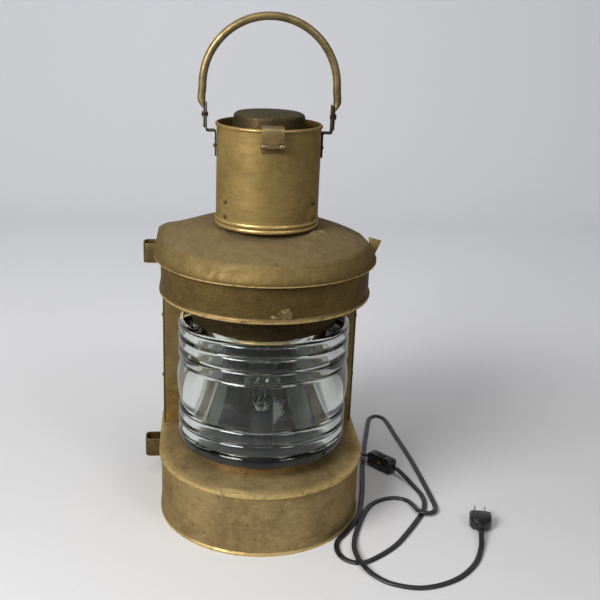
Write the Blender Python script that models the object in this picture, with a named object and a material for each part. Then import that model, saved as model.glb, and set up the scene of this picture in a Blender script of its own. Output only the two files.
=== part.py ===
"""Ship's masthead signal lantern of painted sheet brass, fitted with a mains lamp.

Metres, +Z up. The origin is the middle of the base's underside on the lens axis, and the lens faces -Y.
"""

import math

import bmesh
import bpy
from mathutils import Matrix, Vector

# Sheet metal and fits
SHEET = 0.0012
GAP = 0.0003
OVERRUN = 0.004
SMOOTH_ANGLE = math.radians(32)
FULL_TURN = 2 * math.pi
HALF_TURN = math.pi
QUARTER_TURN = math.pi / 2

# Plan of the body: half a circle in front, straight sides, square back
BODY_RADIUS = 0.125
BACK_REACH = 0.112
BACK_CORNER = 0.012
FRONT_STEPS = 26
SIDE_STEPS = 1
CORNER_STEPS = 3
BACK_STEPS = 2
ROUND_STEPS = 32
BEND_STEPS = 3

# Base drum
DRUM_HEIGHT = 0.080
FOOT_RIM_HEIGHT = 0.004
FOOT_RIM_PROUD = 0.0016
SEAM_PROUD = 0.0030
SEAM_DEPTH = 0.0050
SEAM_CHAMFER = 0.0010
SHOULDER_RISE = 0.0045
SHOULDER_SEAT_MARGIN = 0.0029
SHOULDER_LIP = 0.0072

# Lens and its two collars
COLLAR_RADIUS = 0.0876
LOWER_COLLAR_HEIGHT = 0.0124
COLLAR_LEDGE = 0.0064
LENS_FOOT_WALL = 0.0076
RIBS_EACH_SIDE = 3
RIB_HEIGHT = 0.0163
RIB_PROUD = 0.0161
GROOVE_DEPTH = 0.0056
BELT_HEIGHT = 0.0590
BELT_PROUD = 0.0177
BELT_SAGITTA = 0.0042
LENS_TOP_LIP = 0.0095
LENS_FOOT_TAPER = 0.0125
LENS_HEAD_TAPER = 0.0065
LENS_STEPS = 30
RIB_STEPS = 4
BELT_STEPS = 6
UPPER_COLLAR_HEIGHT = 0.0330

# Screen plate and rear housing
SCREEN_PLACE = 0.0650
SCREEN_FLANGE = 0.0120
DOORWAY_WIDTH = 0.1100
DOORWAY_HEAD = 0.0302
DOORWAY_RADIUS = 0.0120
DOORWAY_SILL = 0.0140
HOUSING_BEND = 0.0060
SIDE_RIVET_LEVELS = (0.0620, 0.1450)

# Band, its bead and its plate
BAND_SETBACK = 0.0015
BAND_HEIGHT = 0.0435
BEAD_HEIGHT = 0.0062
BEAD_PROUD = 0.0022
BEAD_SHARES = ((0.7, 0), (1, 0.3), (1, 0.7), (0.5, 1), (0, 1.2))
BAND_PLATE_LIP = 0.0020

# Roof
ROOF_OVERHANG = 0.0075
ROOF_LIP = 0.0048
ROOF_STEEP_RISE = 0.0165
ROOF_STEEP_RUN = 0.0105
ROOF_SLOPE_RISE = 0.0155
ROOF_CROWN_MARGIN = 0.0025
ROOF_HOLE_LIP = 0.0030
ROOF_EDGE_SHARES = (0.58, 0.62)
ROOF_CORNER_REACH = 0.33
ROOF_CORNER_CURVE = 0.85
ROOF_SLOPE_SHARES = ((0, 0, 0.04), (0.22, 0.36, 0.22), (0.60, 0.76, 0.7))

# Neck tube and chimney
NECK_ROOM = 0.0128
NECK_FLANGE = 0.0085
NECK_HEIGHT = 0.0700
CHIMNEY_RADIUS = 0.0595
CHIMNEY_LIFT = 0.0024
CHIMNEY_HEIGHT = 0.1160
RIM_BEAD_RADIUS = 0.0026
RIM_BEAD_PROUD = 0.0021
FOOT_BEAD_PROUD = 0.0018
FOOT_BEAD_PITCH = 0.0055
FOOT_BEAD_SHARES = ((0.5, 0), (1, 0.25), (0.9, 0.55), (0.15, 0.85), (0.15, 1), (0.9, 1.3), (0.9, 1.55), (0, 1.9))
RIM_BEAD_STEPS = 5
RIM_BEAD_START = math.radians(-75)
RIM_BEAD_SWEEP = math.radians(180)
BRACKET_WIDTH = 0.0120
BRACKET_LEG = 0.0380
BRACKET_FOOT = 0.0100
BRACKET_SHEET = 0.0015
BRACKET_BEND = 0.0020
RIVETED_ANGLES = (math.radians(-146), math.radians(-34))
SOLDERED_ANGLE = math.radians(90)
BRACKET_RIVET_LEVELS = (0.0145, 0.0310)
RIVET_RADIUS = 0.0028
RIVET_HEAD = 0.0016
RIVET_SHANK = 0.0014
RIVET_TAIL = 0.0010
RIVET_STEPS = 8
RIVET_DOME_SHARES = ((0, 1), (0.72, 0.72), (1, 0))

# Bail and its ears
EAR_SHEET = 0.0016
EAR_WIDTH = 0.0150
EAR_STAND_OFF = 0.0105
EAR_DROP = 0.0100
EAR_LEG = 0.0280
EAR_LEAF = 0.0310
EAR_BEND = 0.0020
EAR_RIVET_DROP = 0.0170
BAIL_PIVOT_RISE = 0.0080
BAIL_TUBE_RADIUS = 0.0045
BAIL_OUTSET = 0.0054
BAIL_LEG = 0.0320
TONGUE_THICKNESS = 0.0024
TONGUE_WIDTH = 0.0115
TONGUE_TIP = 0.0150
TONGUE_SWELL = 0.0055
TONGUE_CLEAR = 0.0030
BAIL_ARCH_STEPS = 20
BAIL_SIDES = 8
TONGUE_TIP_SHARES = ((0.40, 1.0), (0.80, 0.88), (1.0, 0.60))
PIVOT_SHANK = 0.0020
PIVOT_HEAD_RADIUS = 0.0038

# Vent cap, its strap and its hinge
CAP_PLAY = 0.0066
CAP_HEIGHT = 0.0400
CAP_ABOVE_RIM = 0.0140
CAP_DRAFT = 0.0030
CAP_SHOULDER_RUN = 0.0066
CAP_CROWN = 0.0022
CAP_SHOULDER_DROP = 0.0050
CAP_CROWN_SHARES = (0.55, 0.3)
CAP_SHOULDER_SHARES = (0.55, 0.3)
HINGE_WIDTH = 0.0250
HINGE_KNUCKLE = 0.0130
HINGE_SHEET = 0.0014
HINGE_DROP = 0.0172
HINGE_PIN_RADIUS = 0.0014
HINGE_PIN_PLAY = 0.0003
HINGE_PIN_HEAD = 0.0021
HINGE_STAND_OFF = 0.0062
HINGE_LEAF_LENGTH = 0.0075
HINGE_CURL = math.radians(300)
STRAP_CURL = math.radians(255)
STRAP_OVER_RIM = 0.0008
STRAP_TAB = 0.0060
STRAP_BEND = 0.0022

# Side loops for the lantern bracket
LOOP_REACH = 0.0250
LOOP_WIDTH = 0.0230
LOOP_HEIGHT = 0.0250
LOOP_SHEET = 0.0018
LOOP_FOOT = 0.0090
LOOP_BEND = 0.0050
LOOP_PLACE = 0.0800
UPPER_LOOP_LIFT = 0.0120
LOWER_LOOP_LEVEL = 0.0420

# Rear door, its hinge and its knob
DOOR_LAP = 0.0060
DOOR_SWAGE = 0.0022
DOOR_SWAGE_INSET = 0.0120
DOOR_SWAGE_SLOPE = 0.0030
DOOR_KNUCKLE = 0.0700
DOOR_HINGE_LENGTH = 0.1100
DOOR_LEAF_WIDTH = 0.0120
DOOR_HINGE_GAP = 0.0006
KNOB_RADIUS = 0.0060
KNOB_LENGTH = 0.0120
KNOB_SHANK = 0.0022
KNOB_NECK = 0.0032
KNOB_SHARES = ((0, 1), (0.7, 0.96), (1, 0.8), (1, 0.62))
DOOR_CORNER = 0.0070

# Lamp fittings
TRAY_PLAY = 0.0010
PIPE_RADIUS = 0.0050
PIPE_BORE = 0.0036
PIPE_BELOW = 0.0120
PIPE_ABOVE = 0.0060
NUT_RADIUS = 0.0095
NUT_HEIGHT = 0.0040
NUT_SIDES = 6
SOCKET_CAP_HEIGHT = 0.0150
SOCKET_CAP_TAPER = 0.0040
SOCKET_SHELL_HEIGHT = 0.0440
BULB_CAP_RADIUS = 0.0130
BULB_CAP_HEIGHT = 0.0260
BULB_CAP_LIP = 0.0030
BULB_RADIUS = 0.0235
BULB_NECK = 0.0120
BULB_NECK_RADIUS = 0.0120
BULB_GLASS = 0.0012
BULB_STEPS = 16
BULB_ARC_STEPS = 6
BULB_ARC_START = math.radians(-50)

# Cord, its bushing, its switch and its plug
CORD_RADIUS = 0.0033
CORD_REACH = 0.0290
CORD_STRAY = 0.0009
CURVE_STEPS = 12
BUSHING_PLACE = 0.0600
BUSHING_LEVEL = 0.0200
BUSHING_LENGTH = 0.0220
BUSHING_ROOT_RADIUS = 0.0080
BUSHING_TIP_RADIUS = 0.0052
BUSHING_FLANGE = 0.0095
BUSHING_FLANGE_HEIGHT = 0.0025
BUSHING_NECK = 0.0062
INNER_LEAD_STRAIGHT = 0.0120
INNER_LEAD_SHARES = (0.25, 0.5, 0.75)
SWITCH_LENGTH = 0.0420
SWITCH_HEIGHT = 0.0215
SWITCH_THICKNESS = 0.0150
SWITCH_CORNER = 0.0050
SWITCH_EDGE = 0.0022
SWITCH_EDGE_SHARE = 0.3
SWITCH_PLACE = Vector((0.1755, 0.0760, 0.0))
SWITCH_HEADING = math.radians(-49.9)
WHEEL_RADIUS = 0.0098
WHEEL_THICKNESS = 0.0050
WHEEL_ALONG = 0.0010
WHEEL_LIFT = 0.0025
WHEEL_TEETH = 16
WHEEL_TOOTH = 0.0006
WHEEL_BORE = 0.0020
WHEEL_PLAY = 0.0004
SWITCH_SCREW_RADIUS = 0.0014
SWITCH_SCREW_HEAD = 0.0026
SWITCH_SCREW_HEAD_HEIGHT = 0.0008
SWITCH_SCREW_BITE = 0.0055
PLUG_PLACE = Vector((0.2690, -0.0930, 0.0))
PLUG_HEADING = math.radians(76)
PLUG_LENGTH = 0.0320
PLUG_WIDTH = 0.0270
PLUG_THICKNESS = 0.0165
PLUG_CORNER = 0.0040
PLUG_LEVEL = 0.0085
PLUG_SHARES = ((0, 0.38, 0.56), (0.18, 0.42, 0.62), (0.34, 0.86, 0.94), (0.50, 1, 1), (0.92, 1, 1), (1, 0.9, 0.86))
BLADE_LENGTH = 0.0175
BLADE_WIDTH = 0.0064
BLADE_THICKNESS = 0.0015
BLADE_SPACING = 0.0127
BLADE_SEAT = 0.0040
MILLIMETRE = 0.001
CORD_REST = 3.5
CORD_OVER = 10.7
SWITCH_ENTRY = 10.75


def route_of(places):
    """A cord's route from its places in millimetres."""
    return [Vector(place) * MILLIMETRE for place in places]


FIRST_ROUTE = route_of(
    [
        (60, 143, 20),
        (63.6, 156, 15),
        (73.5, 167, 8),
        (87, 171, 4.5),
        (100.5, 168, CORD_REST),
        (112, 157, CORD_REST),
        (123, 142.5, 4.4),
        (134, 127.6, 6.6),
        (144, 114.7, 9.2),
        (151, 105.6, CORD_OVER),
        (156.5, 98.8, SWITCH_ENTRY),
    ]
)

SECOND_ROUTE = route_of(
    [
        (193.5, 54.6, SWITCH_ENTRY),
        (204, 39.5, 7.4),
        (211.5, 20, 4.2),
        (216, 0, CORD_REST),
        (215, -20, CORD_REST),
        (207, -42, CORD_REST),
        (182, -81, CORD_REST),
        (156, -115, CORD_REST),
        (125, -140, CORD_REST),
        (109, -145.5, CORD_REST),
        (96, -141, CORD_REST),
        (88, -130, CORD_REST),
        (86, -115, CORD_REST),
        (90, -99, CORD_REST),
        (103, -81, CORD_REST),
        (120.8, -51, CORD_REST),
        (129, -27, CORD_REST),
        (138, 13, CORD_REST),
        (144.5, 50, CORD_REST),
        (149.5, 80, CORD_REST),
        (155, 104, CORD_REST),
        (163, 142, CORD_REST),
        (173, 184, CORD_REST),
        (181, 216, CORD_REST),
        (186.5, 232, CORD_REST),
        (197, 240, CORD_REST),
        (207.5, 232, CORD_REST),
        (211.5, 213, CORD_REST),
        (215, 176, CORD_REST),
        (222, 107, CORD_REST),
        (225.5, 48, CORD_REST),
        (227.5, -4, CORD_REST),
        (227, -30, 4.8),
        (222, -43, 8.4),
        (212, -48.5, CORD_OVER),
        (202, -43, CORD_OVER),
        (199, -29, 7.6),
        (194, -13, 4.4),
        (181, -5, CORD_REST),
        (163, -7.5, CORD_REST),
        (145, -19.5, CORD_REST),
        (132, -40, CORD_REST),
        (122, -64, CORD_REST),
        (112.5, -90, 3.7),
        (107, -116, 6.8),
        (107, -138, CORD_OVER),
        (110, -152, CORD_OVER),
        (120, -170, 6.4),
        (140, -187, CORD_REST),
        (174, -195.5, CORD_REST),
        (213, -183, CORD_REST),
        (243, -156, CORD_REST),
        (260, -125, 6.0),
        (266.5, -103, 8.5),
    ]
)

# Radii that follow from the sizes above
SHOULDER_SEAT_RADIUS = COLLAR_RADIUS + SHOULDER_SEAT_MARGIN
COLLAR_LEDGE_RADIUS = COLLAR_RADIUS - COLLAR_LEDGE
SHOULDER_HOLE_RADIUS = COLLAR_LEDGE_RADIUS - SHOULDER_LIP
LENS_BORE_RADIUS = COLLAR_RADIUS - LENS_FOOT_WALL
RIB_CREST_RADIUS = COLLAR_RADIUS + RIB_PROUD
BELT_RADIUS = COLLAR_RADIUS + BELT_PROUD
TRAY_RADIUS = LENS_BORE_RADIUS - TRAY_PLAY
BAND_PLATE_HOLE = LENS_BORE_RADIUS - BAND_PLATE_LIP
BAND_RADIUS = BODY_RADIUS - BAND_SETBACK
ROOF_RADIUS = BAND_RADIUS + ROOF_OVERHANG
ROOF_CROWN_RADIUS = CHIMNEY_RADIUS + ROOF_CROWN_MARGIN
CHIMNEY_BORE = CHIMNEY_RADIUS - SHEET
NECK_FLANGE_RADIUS = CHIMNEY_BORE - NECK_ROOM
NECK_RADIUS = NECK_FLANGE_RADIUS - NECK_FLANGE
ROOF_HOLE_RADIUS = NECK_RADIUS - ROOF_HOLE_LIP
CAP_RADIUS = NECK_RADIUS + CAP_PLAY
CAP_TOP_RADIUS = CAP_RADIUS - CAP_DRAFT - CAP_SHOULDER_RUN
BAIL_ARCH_RADIUS = CHIMNEY_RADIUS + EAR_STAND_OFF + BAIL_OUTSET

# Levels and places that follow from them
RIM_TOP = DRUM_HEIGHT + GAP + SHEET
SEAT_LEVEL = RIM_TOP + SHOULDER_RISE
LOWER_COLLAR_FOOT = SEAT_LEVEL + GAP
LENS_FOOT = LOWER_COLLAR_FOOT + SHEET + GAP
LENS_START = LOWER_COLLAR_FOOT + LOWER_COLLAR_HEIGHT
LENS_SPAN = BELT_HEIGHT + 2 * RIBS_EACH_SIDE * RIB_HEIGHT
LENS_END = LENS_START + LENS_SPAN
BAND_FOOT = LENS_END + UPPER_COLLAR_HEIGHT
ROOF_FOOT = BAND_FOOT + BAND_HEIGHT
ROOF_TOP = ROOF_FOOT + ROOF_LIP + ROOF_STEEP_RISE + ROOF_SLOPE_RISE
CHIMNEY_FOOT = ROOF_TOP + CHIMNEY_LIFT
CHIMNEY_RIM = CHIMNEY_FOOT + CHIMNEY_HEIGHT
BAIL_PIVOT = CHIMNEY_RIM + BAIL_PIVOT_RISE
HINGE_LEVEL = CHIMNEY_RIM - HINGE_DROP
HINGE_PLACE = -(CHIMNEY_RADIUS + HINGE_STAND_OFF)
CURL_RADIUS = HINGE_PIN_RADIUS + HINGE_PIN_PLAY + HINGE_SHEET / 2
HOUSING_HALF = BODY_RADIUS
SCREEN_HALF = HOUSING_HALF - SHEET - GAP
HOUSING_TOP = BAND_FOOT - GAP
BACK_FACE = BACK_REACH
DOORWAY_FOOT = SEAT_LEVEL + DOORWAY_SILL
DOORWAY_HEIGHT = HOUSING_TOP - DOORWAY_HEAD - DOORWAY_FOOT
DOORWAY_MIDDLE = DOORWAY_FOOT + DOORWAY_HEIGHT / 2
DOOR_WIDTH = DOORWAY_WIDTH + 2 * DOOR_LAP
DOOR_HEIGHT = DOORWAY_HEIGHT + 2 * DOOR_LAP
DOOR_FACE = BACK_FACE + GAP
DOOR_AXIS = Vector((-(DOOR_WIDTH / 2 + CURL_RADIUS + HINGE_SHEET), DOOR_FACE + CURL_RADIUS + HINGE_SHEET / 2, 0))


def paint(name, colour, roughness, metallic, alpha=1.0):
    """A plain Principled finish."""
    material = bpy.data.materials.get(name)
    if material:
        return material
    material = bpy.data.materials.new(name)
    material.use_nodes = True
    shader = material.node_tree.nodes["Principled BSDF"]
    shader.inputs["Base Color"].default_value = (*colour, 1)
    shader.inputs["Roughness"].default_value = roughness
    shader.inputs["Metallic"].default_value = metallic
    shader.inputs["Transmission Weight"].default_value = 1 - alpha
    material.diffuse_color = (*colour, alpha)
    return material


BRONZE = ("bronze paint", (0.30, 0.20, 0.075), 0.42, 0.75)
DARK_BRONZE = ("dark bronze paint", (0.16, 0.11, 0.055), 0.5, 0.7)
WHITE_ENAMEL = ("white enamel", (0.70, 0.70, 0.66), 0.4, 0.0)
BLACK_PAINT = ("black paint", (0.012, 0.012, 0.013), 0.45, 0.0)
CLEAR_GLASS = ("clear glass", (0.86, 0.92, 0.88), 0.03, 0.0, 0.3)
BLACK_VINYL = ("black vinyl", (0.010, 0.010, 0.011), 0.38, 0.0)
BLACK_PHENOLIC = ("black phenolic", (0.012, 0.010, 0.009), 0.32, 0.0)
BRASS = ("bright brass", (0.62, 0.44, 0.18), 0.3, 1.0)
STEEL = ("bright steel", (0.56, 0.56, 0.55), 0.28, 1.0)


def new_object(name, mesh_builder, finish, origin=(0, 0, 0)):
    """An object of the mesh in mesh_builder, with its origin moved to a chosen point."""
    bmesh.ops.remove_doubles(mesh_builder, verts=mesh_builder.verts, dist=GAP / 100)
    bmesh.ops.recalc_face_normals(mesh_builder, faces=mesh_builder.faces)
    bmesh.ops.triangulate(mesh_builder, faces=mesh_builder.faces, quad_method="SHORT_EDGE")
    bmesh.ops.translate(mesh_builder, verts=mesh_builder.verts, vec=-Vector(origin))
    mesh = bpy.data.meshes.new(name)
    mesh_builder.to_mesh(mesh)
    mesh_builder.free()
    mesh.shade_smooth()
    mesh.set_sharp_from_angle(angle=SMOOTH_ANGLE)
    body = bpy.data.objects.new(name, mesh)
    body.location = origin
    bpy.context.collection.objects.link(body)
    if finish:
        mesh.materials.append(paint(*finish))
    return body


def hide_cutter(cutter):
    """Mark an object as a cutter, which isn't part of the lantern."""
    cutter.hide_render = True
    cutter.display_type = "WIRE"
    return cutter


def cut(body, cutter, operation="DIFFERENCE"):
    """Cut, or join, with a Boolean modifier."""
    hide_cutter(cutter)
    modifier = body.modifiers.new(cutter.name, "BOOLEAN")
    modifier.operation = operation
    modifier.object = cutter
    modifier.solver = "EXACT"
    return body


def skin(builder, rows, across_closed, along_closed):
    """Faces between rows of points. A row of one point is a pole. Open ends are capped when the rows close."""
    made = [[builder.verts.new(point) for point in row] for row in rows]
    pairs = list(zip(made, made[1:]))
    if along_closed:
        pairs.append((made[-1], made[0]))
    for first, second in pairs:
        count = max(len(first), len(second))
        for index in range(count if across_closed else count - 1):
            following = (index + 1) % count
            corners = []
            for row, place in ((first, index), (first, following), (second, following), (second, index)):
                corner = row[0] if len(row) == 1 else row[place]
                if corner not in corners:
                    corners.append(corner)
            builder.faces.new(corners)
    return made


def lofted(name, rings, finish, closed=False, origin=(0, 0, 0)):
    """A body through level rings; closed joins the last to the first, and otherwise both ends are capped."""
    builder = bmesh.new()
    made = skin(builder, rings, True, closed)
    if not closed:
        for ring in (made[0], made[-1]):
            if len(ring) > 1:
                builder.faces.new(ring)
    return new_object(name, builder, finish, origin)


def plan_ring(radius, back, level, round_share=0.0):
    """The body's outline at one level, drawn in to a full circle as round_share goes from 0 to 1."""
    corner = min(BACK_CORNER, radius / 2)
    boxed = []
    for step in range(FRONT_STEPS + 1):
        angle = HALF_TURN + HALF_TURN * step / FRONT_STEPS
        boxed.append((radius * math.cos(angle), radius * math.sin(angle)))
    rear = []
    for step in range(1, SIDE_STEPS + 1):
        rear.append((radius, (back - corner) * step / SIDE_STEPS))
    for step in range(1, CORNER_STEPS + 1):
        angle = QUARTER_TURN * step / CORNER_STEPS
        rear.append((radius - corner + corner * math.cos(angle), back - corner + corner * math.sin(angle)))
    half_back = radius - corner
    for step in range(1, BACK_STEPS):
        rear.append((half_back - 2 * half_back * step / BACK_STEPS, back))
    right = rear[: SIDE_STEPS + CORNER_STEPS]
    boxed += rear + [(-x, y) for x, y in reversed(right)]
    ring = []
    for x, y in boxed:
        angle = math.atan2(y, x)
        share = round_share if y > 0 else 0
        circle = (radius * math.cos(angle), radius * math.sin(angle))
        ring.append(Vector((x + (circle[0] - x) * share, y + (circle[1] - y) * share, level)))
    return ring


def circle_ring(radius, level, steps=ROUND_STEPS):
    """A level circle on the lens axis, or its centre where the radius is zero."""
    if radius == 0:
        return [Vector((0, 0, level))]
    return [
        Vector((radius * math.cos(FULL_TURN * step / steps), radius * math.sin(FULL_TURN * step / steps), level))
        for step in range(steps)
    ]


def turned(name, profile, finish, closed=False, steps=ROUND_STEPS, place=Matrix(), origin=(0, 0, 0)):
    """A turned body from (radius, height) points, placed by a matrix."""
    rings = [[place @ point for point in circle_ring(radius, height, steps)] for radius, height in profile]
    return lofted(name, rings, finish, closed, origin)


def offset_line(points, distance):
    """An open line moved sideways by a distance, with mitred corners."""
    moved = []
    for index, point in enumerate(points):
        normals = []
        if index > 0:
            run = (point - points[index - 1]).normalized()
            normals.append(Vector((-run.y, run.x)))
        if index < len(points) - 1:
            run = (points[index + 1] - point).normalized()
            normals.append(Vector((-run.y, run.x)))
        mitre = sum(normals, Vector((0, 0))).normalized()
        moved.append(point + mitre * (distance / mitre.dot(normals[0])))
    return moved


def rounded_path(points, radius, steps=BEND_STEPS):
    """An open line whose inner corners are turned into bends."""
    line = [Vector(point) for point in points]
    path = [line[0]]
    for before, corner, after in zip(line, line[1:], line[2:]):
        back_way = (before - corner).normalized()
        on_way = (after - corner).normalized()
        half_angle = back_way.angle(on_way) / 2
        inset = radius / math.tan(half_angle)
        centre = corner + (back_way + on_way).normalized() * (radius / math.sin(half_angle))
        start = corner + back_way * inset - centre
        end = corner + on_way * inset - centre
        sweep = start.angle_signed(end)
        for step in range(steps + 1):
            turn = -sweep * step / steps
            path.append(centre + Matrix.Rotation(turn, 2) @ start)
    path.append(line[-1])
    return path


def strip_section(path, thickness):
    """The section of a bent strip about its middle line."""
    return offset_line(path, thickness / 2) + list(reversed(offset_line(path, -thickness / 2)))


def extruded(name, section, width, place, finish, origin=(0, 0, 0)):
    """A flat section pulled along its own third axis, half each way, then placed by a matrix."""
    rings = []
    for side in (-width / 2, width / 2):
        rings.append([place @ Vector((point[0], point[1], side)) for point in section])
    return lofted(name, rings, finish, origin=origin)


def axes(right, up, origin=(0, 0, 0)):
    """A matrix whose first two axes point right and up, with the third square to both."""
    right = Vector(right).normalized()
    up = Vector(up).normalized()
    return Matrix.Translation(origin) @ Matrix((right, up, right.cross(up))).transposed().to_4x4()


def along(direction, origin):
    """A matrix that turns +Z to a direction and moves it to a point."""
    return Matrix.Translation(origin) @ Vector(direction).to_track_quat("Z", "Y").to_matrix().to_4x4()


def box_cutter(name, low, high):
    """A plain box from its lowest to its highest corner, as a cutter."""
    builder = bmesh.new()
    bmesh.ops.create_cube(builder, size=1)
    for vertex in builder.verts:
        for axis in range(3):
            vertex.co[axis] = high[axis] if vertex.co[axis] > 0 else low[axis]
    return hide_cutter(new_object(name, builder, None))


def pin_cutter(name, pins, radius, steps=RIVET_STEPS):
    """One cutter of several pins, each from one point to another."""
    builder = bmesh.new()
    for start, end in pins:
        place = along(end - start, start)
        length = (end - start).length
        rings = [[place @ point for point in circle_ring(radius, level, steps)] for level in (0, length)]
        made = skin(builder, rings, True, False)
        builder.faces.new(made[0])
        builder.faces.new(made[-1])
    return hide_cutter(new_object(name, builder, None))


def rivet(name, seat, outward, grip, finish=BRONZE, head=RIVET_RADIUS, shank=RIVET_SHANK):
    """A round-headed rivet whose head sits at a point and whose shank runs inwards through its grip."""
    tail = (head + shank) / 2
    profile = [(head * radius_share, RIVET_HEAD * rise_share) for radius_share, rise_share in RIVET_DOME_SHARES]
    profile += [
        (shank, 0),
        (shank, -grip),
        (tail, -grip),
        (tail, -grip - RIVET_TAIL),
        (0, -grip - RIVET_TAIL),
    ]
    return turned(name, profile, finish, steps=RIVET_STEPS, place=along(outward, seat))


def arc_body(name, section, cut_level, steps, finish):
    """A section of (radius, height) swept round the front of the lens axis, with both ends flat at one depth."""
    builder = bmesh.new()
    rows = []
    for radius, height in section:
        reach = QUARTER_TURN + math.asin(cut_level / radius)
        row = []
        for step in range(steps + 1):
            angle = -QUARTER_TURN + reach * (2 * step / steps - 1)
            row.append(Vector((radius * math.cos(angle), radius * math.sin(angle), height)))
        rows.append(row)
    made = skin(builder, rows, False, True)
    for end in (0, -1):
        builder.faces.new([row[end] for row in made])
    return new_object(name, builder, finish)


def shoulder_rings(lift=0.0):
    """The upper face of the shoulder, from its rim to its hole, raised by a lift."""
    rim = BODY_RADIUS + SEAM_PROUD
    return [
        plan_ring(rim - SEAM_CHAMFER, BACK_REACH + SEAM_PROUD - SEAM_CHAMFER, RIM_TOP + lift),
        plan_ring(SHOULDER_SEAT_RADIUS, SHOULDER_SEAT_RADIUS, SEAT_LEVEL + lift, 1),
    ]


def shoulder_form():
    """A cutter as high as the shoulder's upper face and the fit gap, for what stands on the shoulder."""
    wide = BODY_RADIUS + SEAM_PROUD + OVERRUN
    rings = [
        plan_ring(wide, BACK_REACH + SEAM_PROUD + OVERRUN, 0),
        plan_ring(wide, BACK_REACH + SEAM_PROUD + OVERRUN, RIM_TOP + GAP),
    ]
    rings += shoulder_rings(GAP)
    return hide_cutter(lofted("shoulder_form", rings, None))


def base_shell():
    """The drum wall of the base, with its foot rim and the hole for the cord bushing."""
    outer = [
        (FOOT_RIM_PROUD, 0),
        (FOOT_RIM_PROUD, FOOT_RIM_HEIGHT - FOOT_RIM_PROUD),
        (0, FOOT_RIM_HEIGHT),
        (0, DRUM_HEIGHT),
        (-SHEET, DRUM_HEIGHT),
        (-SHEET, 0),
    ]
    rings = [plan_ring(BODY_RADIUS + out, BACK_REACH + out, level) for out, level in outer]
    shell = lofted("base_shell", rings, BRONZE, closed=True)
    middle = Vector((BUSHING_PLACE, BACK_REACH, BUSHING_LEVEL))
    hole = pin_cutter(
        "bushing_hole",
        [(middle - Vector((0, OVERRUN, 0)), middle + Vector((0, OVERRUN, 0)))],
        BUSHING_NECK + GAP,
        BULB_STEPS,
    )
    return cut(shell, hole)


def base_plate():
    """The flat bottom plate inside the drum wall."""
    inside = SHEET + GAP
    rings = [plan_ring(BODY_RADIUS - inside, BACK_REACH - inside, level) for level in (0, SHEET)]
    return lofted("base_plate", rings, DARK_BRONZE)


def base_shoulder():
    """The top of the base: a seam folded down over the drum wall, a shallow slope, and a flat lens seat."""
    rim = BODY_RADIUS + SEAM_PROUD
    back = BACK_REACH + SEAM_PROUD
    seam_foot = RIM_TOP - SEAM_DEPTH
    under = RIM_TOP - SHEET
    rings = [
        plan_ring(BODY_RADIUS + GAP, BACK_REACH + GAP, seam_foot),
        plan_ring(rim - SEAM_CHAMFER, back - SEAM_CHAMFER, seam_foot),
        plan_ring(rim, back, seam_foot + SEAM_CHAMFER),
        plan_ring(rim, back, RIM_TOP - SEAM_CHAMFER),
    ]
    rings += shoulder_rings()
    rings += [
        plan_ring(SHOULDER_HOLE_RADIUS, SHOULDER_HOLE_RADIUS, SEAT_LEVEL, 1),
        plan_ring(SHOULDER_HOLE_RADIUS, SHOULDER_HOLE_RADIUS, SEAT_LEVEL - SHEET, 1),
        plan_ring(SHOULDER_SEAT_RADIUS, SHOULDER_SEAT_RADIUS, SEAT_LEVEL - SHEET, 1),
        plan_ring(BODY_RADIUS + GAP, BACK_REACH + GAP, under),
    ]
    return lofted("base_shoulder", rings, BRONZE, closed=True)


def lower_lens_collar():
    """The ring that the lens stands in, with the ledge under the glass."""
    foot = LOWER_COLLAR_FOOT
    section = [
        (COLLAR_RADIUS, foot),
        (COLLAR_RADIUS, foot + LOWER_COLLAR_HEIGHT),
        (COLLAR_RADIUS - SHEET, foot + LOWER_COLLAR_HEIGHT),
        (COLLAR_RADIUS - SHEET, foot + SHEET),
        (COLLAR_LEDGE_RADIUS, foot + SHEET),
        (COLLAR_LEDGE_RADIUS, foot),
    ]
    return arc_body("lower_lens_collar", section, SCREEN_PLACE - GAP, LENS_STEPS, BRONZE)


def rib_outline(start, height, crest, steps, foot_drop, head_drop):
    """The outer face of one rib: a full crest between two grooves, as (radius, height) points."""
    points = []
    for step in range(steps + 1):
        share = step / steps
        side = 2 * share - 1
        drop = foot_drop if side < 0 else head_drop
        points.append((crest - drop * abs(side) ** 4, start + height * share))
    return points


def lens_outline():
    """The outer face of the lens from its foot to its head."""
    lip = COLLAR_RADIUS - SHEET - GAP
    points = [(lip, LENS_FOOT), (lip, LENS_START)]
    level = LENS_START
    for rib in range(RIBS_EACH_SIDE):
        foot_drop = LENS_FOOT_TAPER if rib == 0 else GROOVE_DEPTH
        points += rib_outline(level, RIB_HEIGHT, RIB_CREST_RADIUS, RIB_STEPS, foot_drop, GROOVE_DEPTH)
        level += RIB_HEIGHT
    groove = RIB_CREST_RADIUS - GROOVE_DEPTH
    for step in range(1, BELT_STEPS):
        side = 2 * step / BELT_STEPS - 1
        points.append((BELT_RADIUS - BELT_SAGITTA * side * side, level + BELT_HEIGHT * step / BELT_STEPS))
    level += BELT_HEIGHT
    points.append((groove, level))
    for rib in range(RIBS_EACH_SIDE):
        head_drop = LENS_HEAD_TAPER if rib == RIBS_EACH_SIDE - 1 else GROOVE_DEPTH
        points += rib_outline(level, RIB_HEIGHT, RIB_CREST_RADIUS, RIB_STEPS, GROOVE_DEPTH, head_drop)[1:]
        level += RIB_HEIGHT
    points += [(lip, LENS_END), (lip, LENS_END + LENS_TOP_LIP)]
    return [point for index, point in enumerate(points) if index == 0 or point != points[index - 1]]


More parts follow.
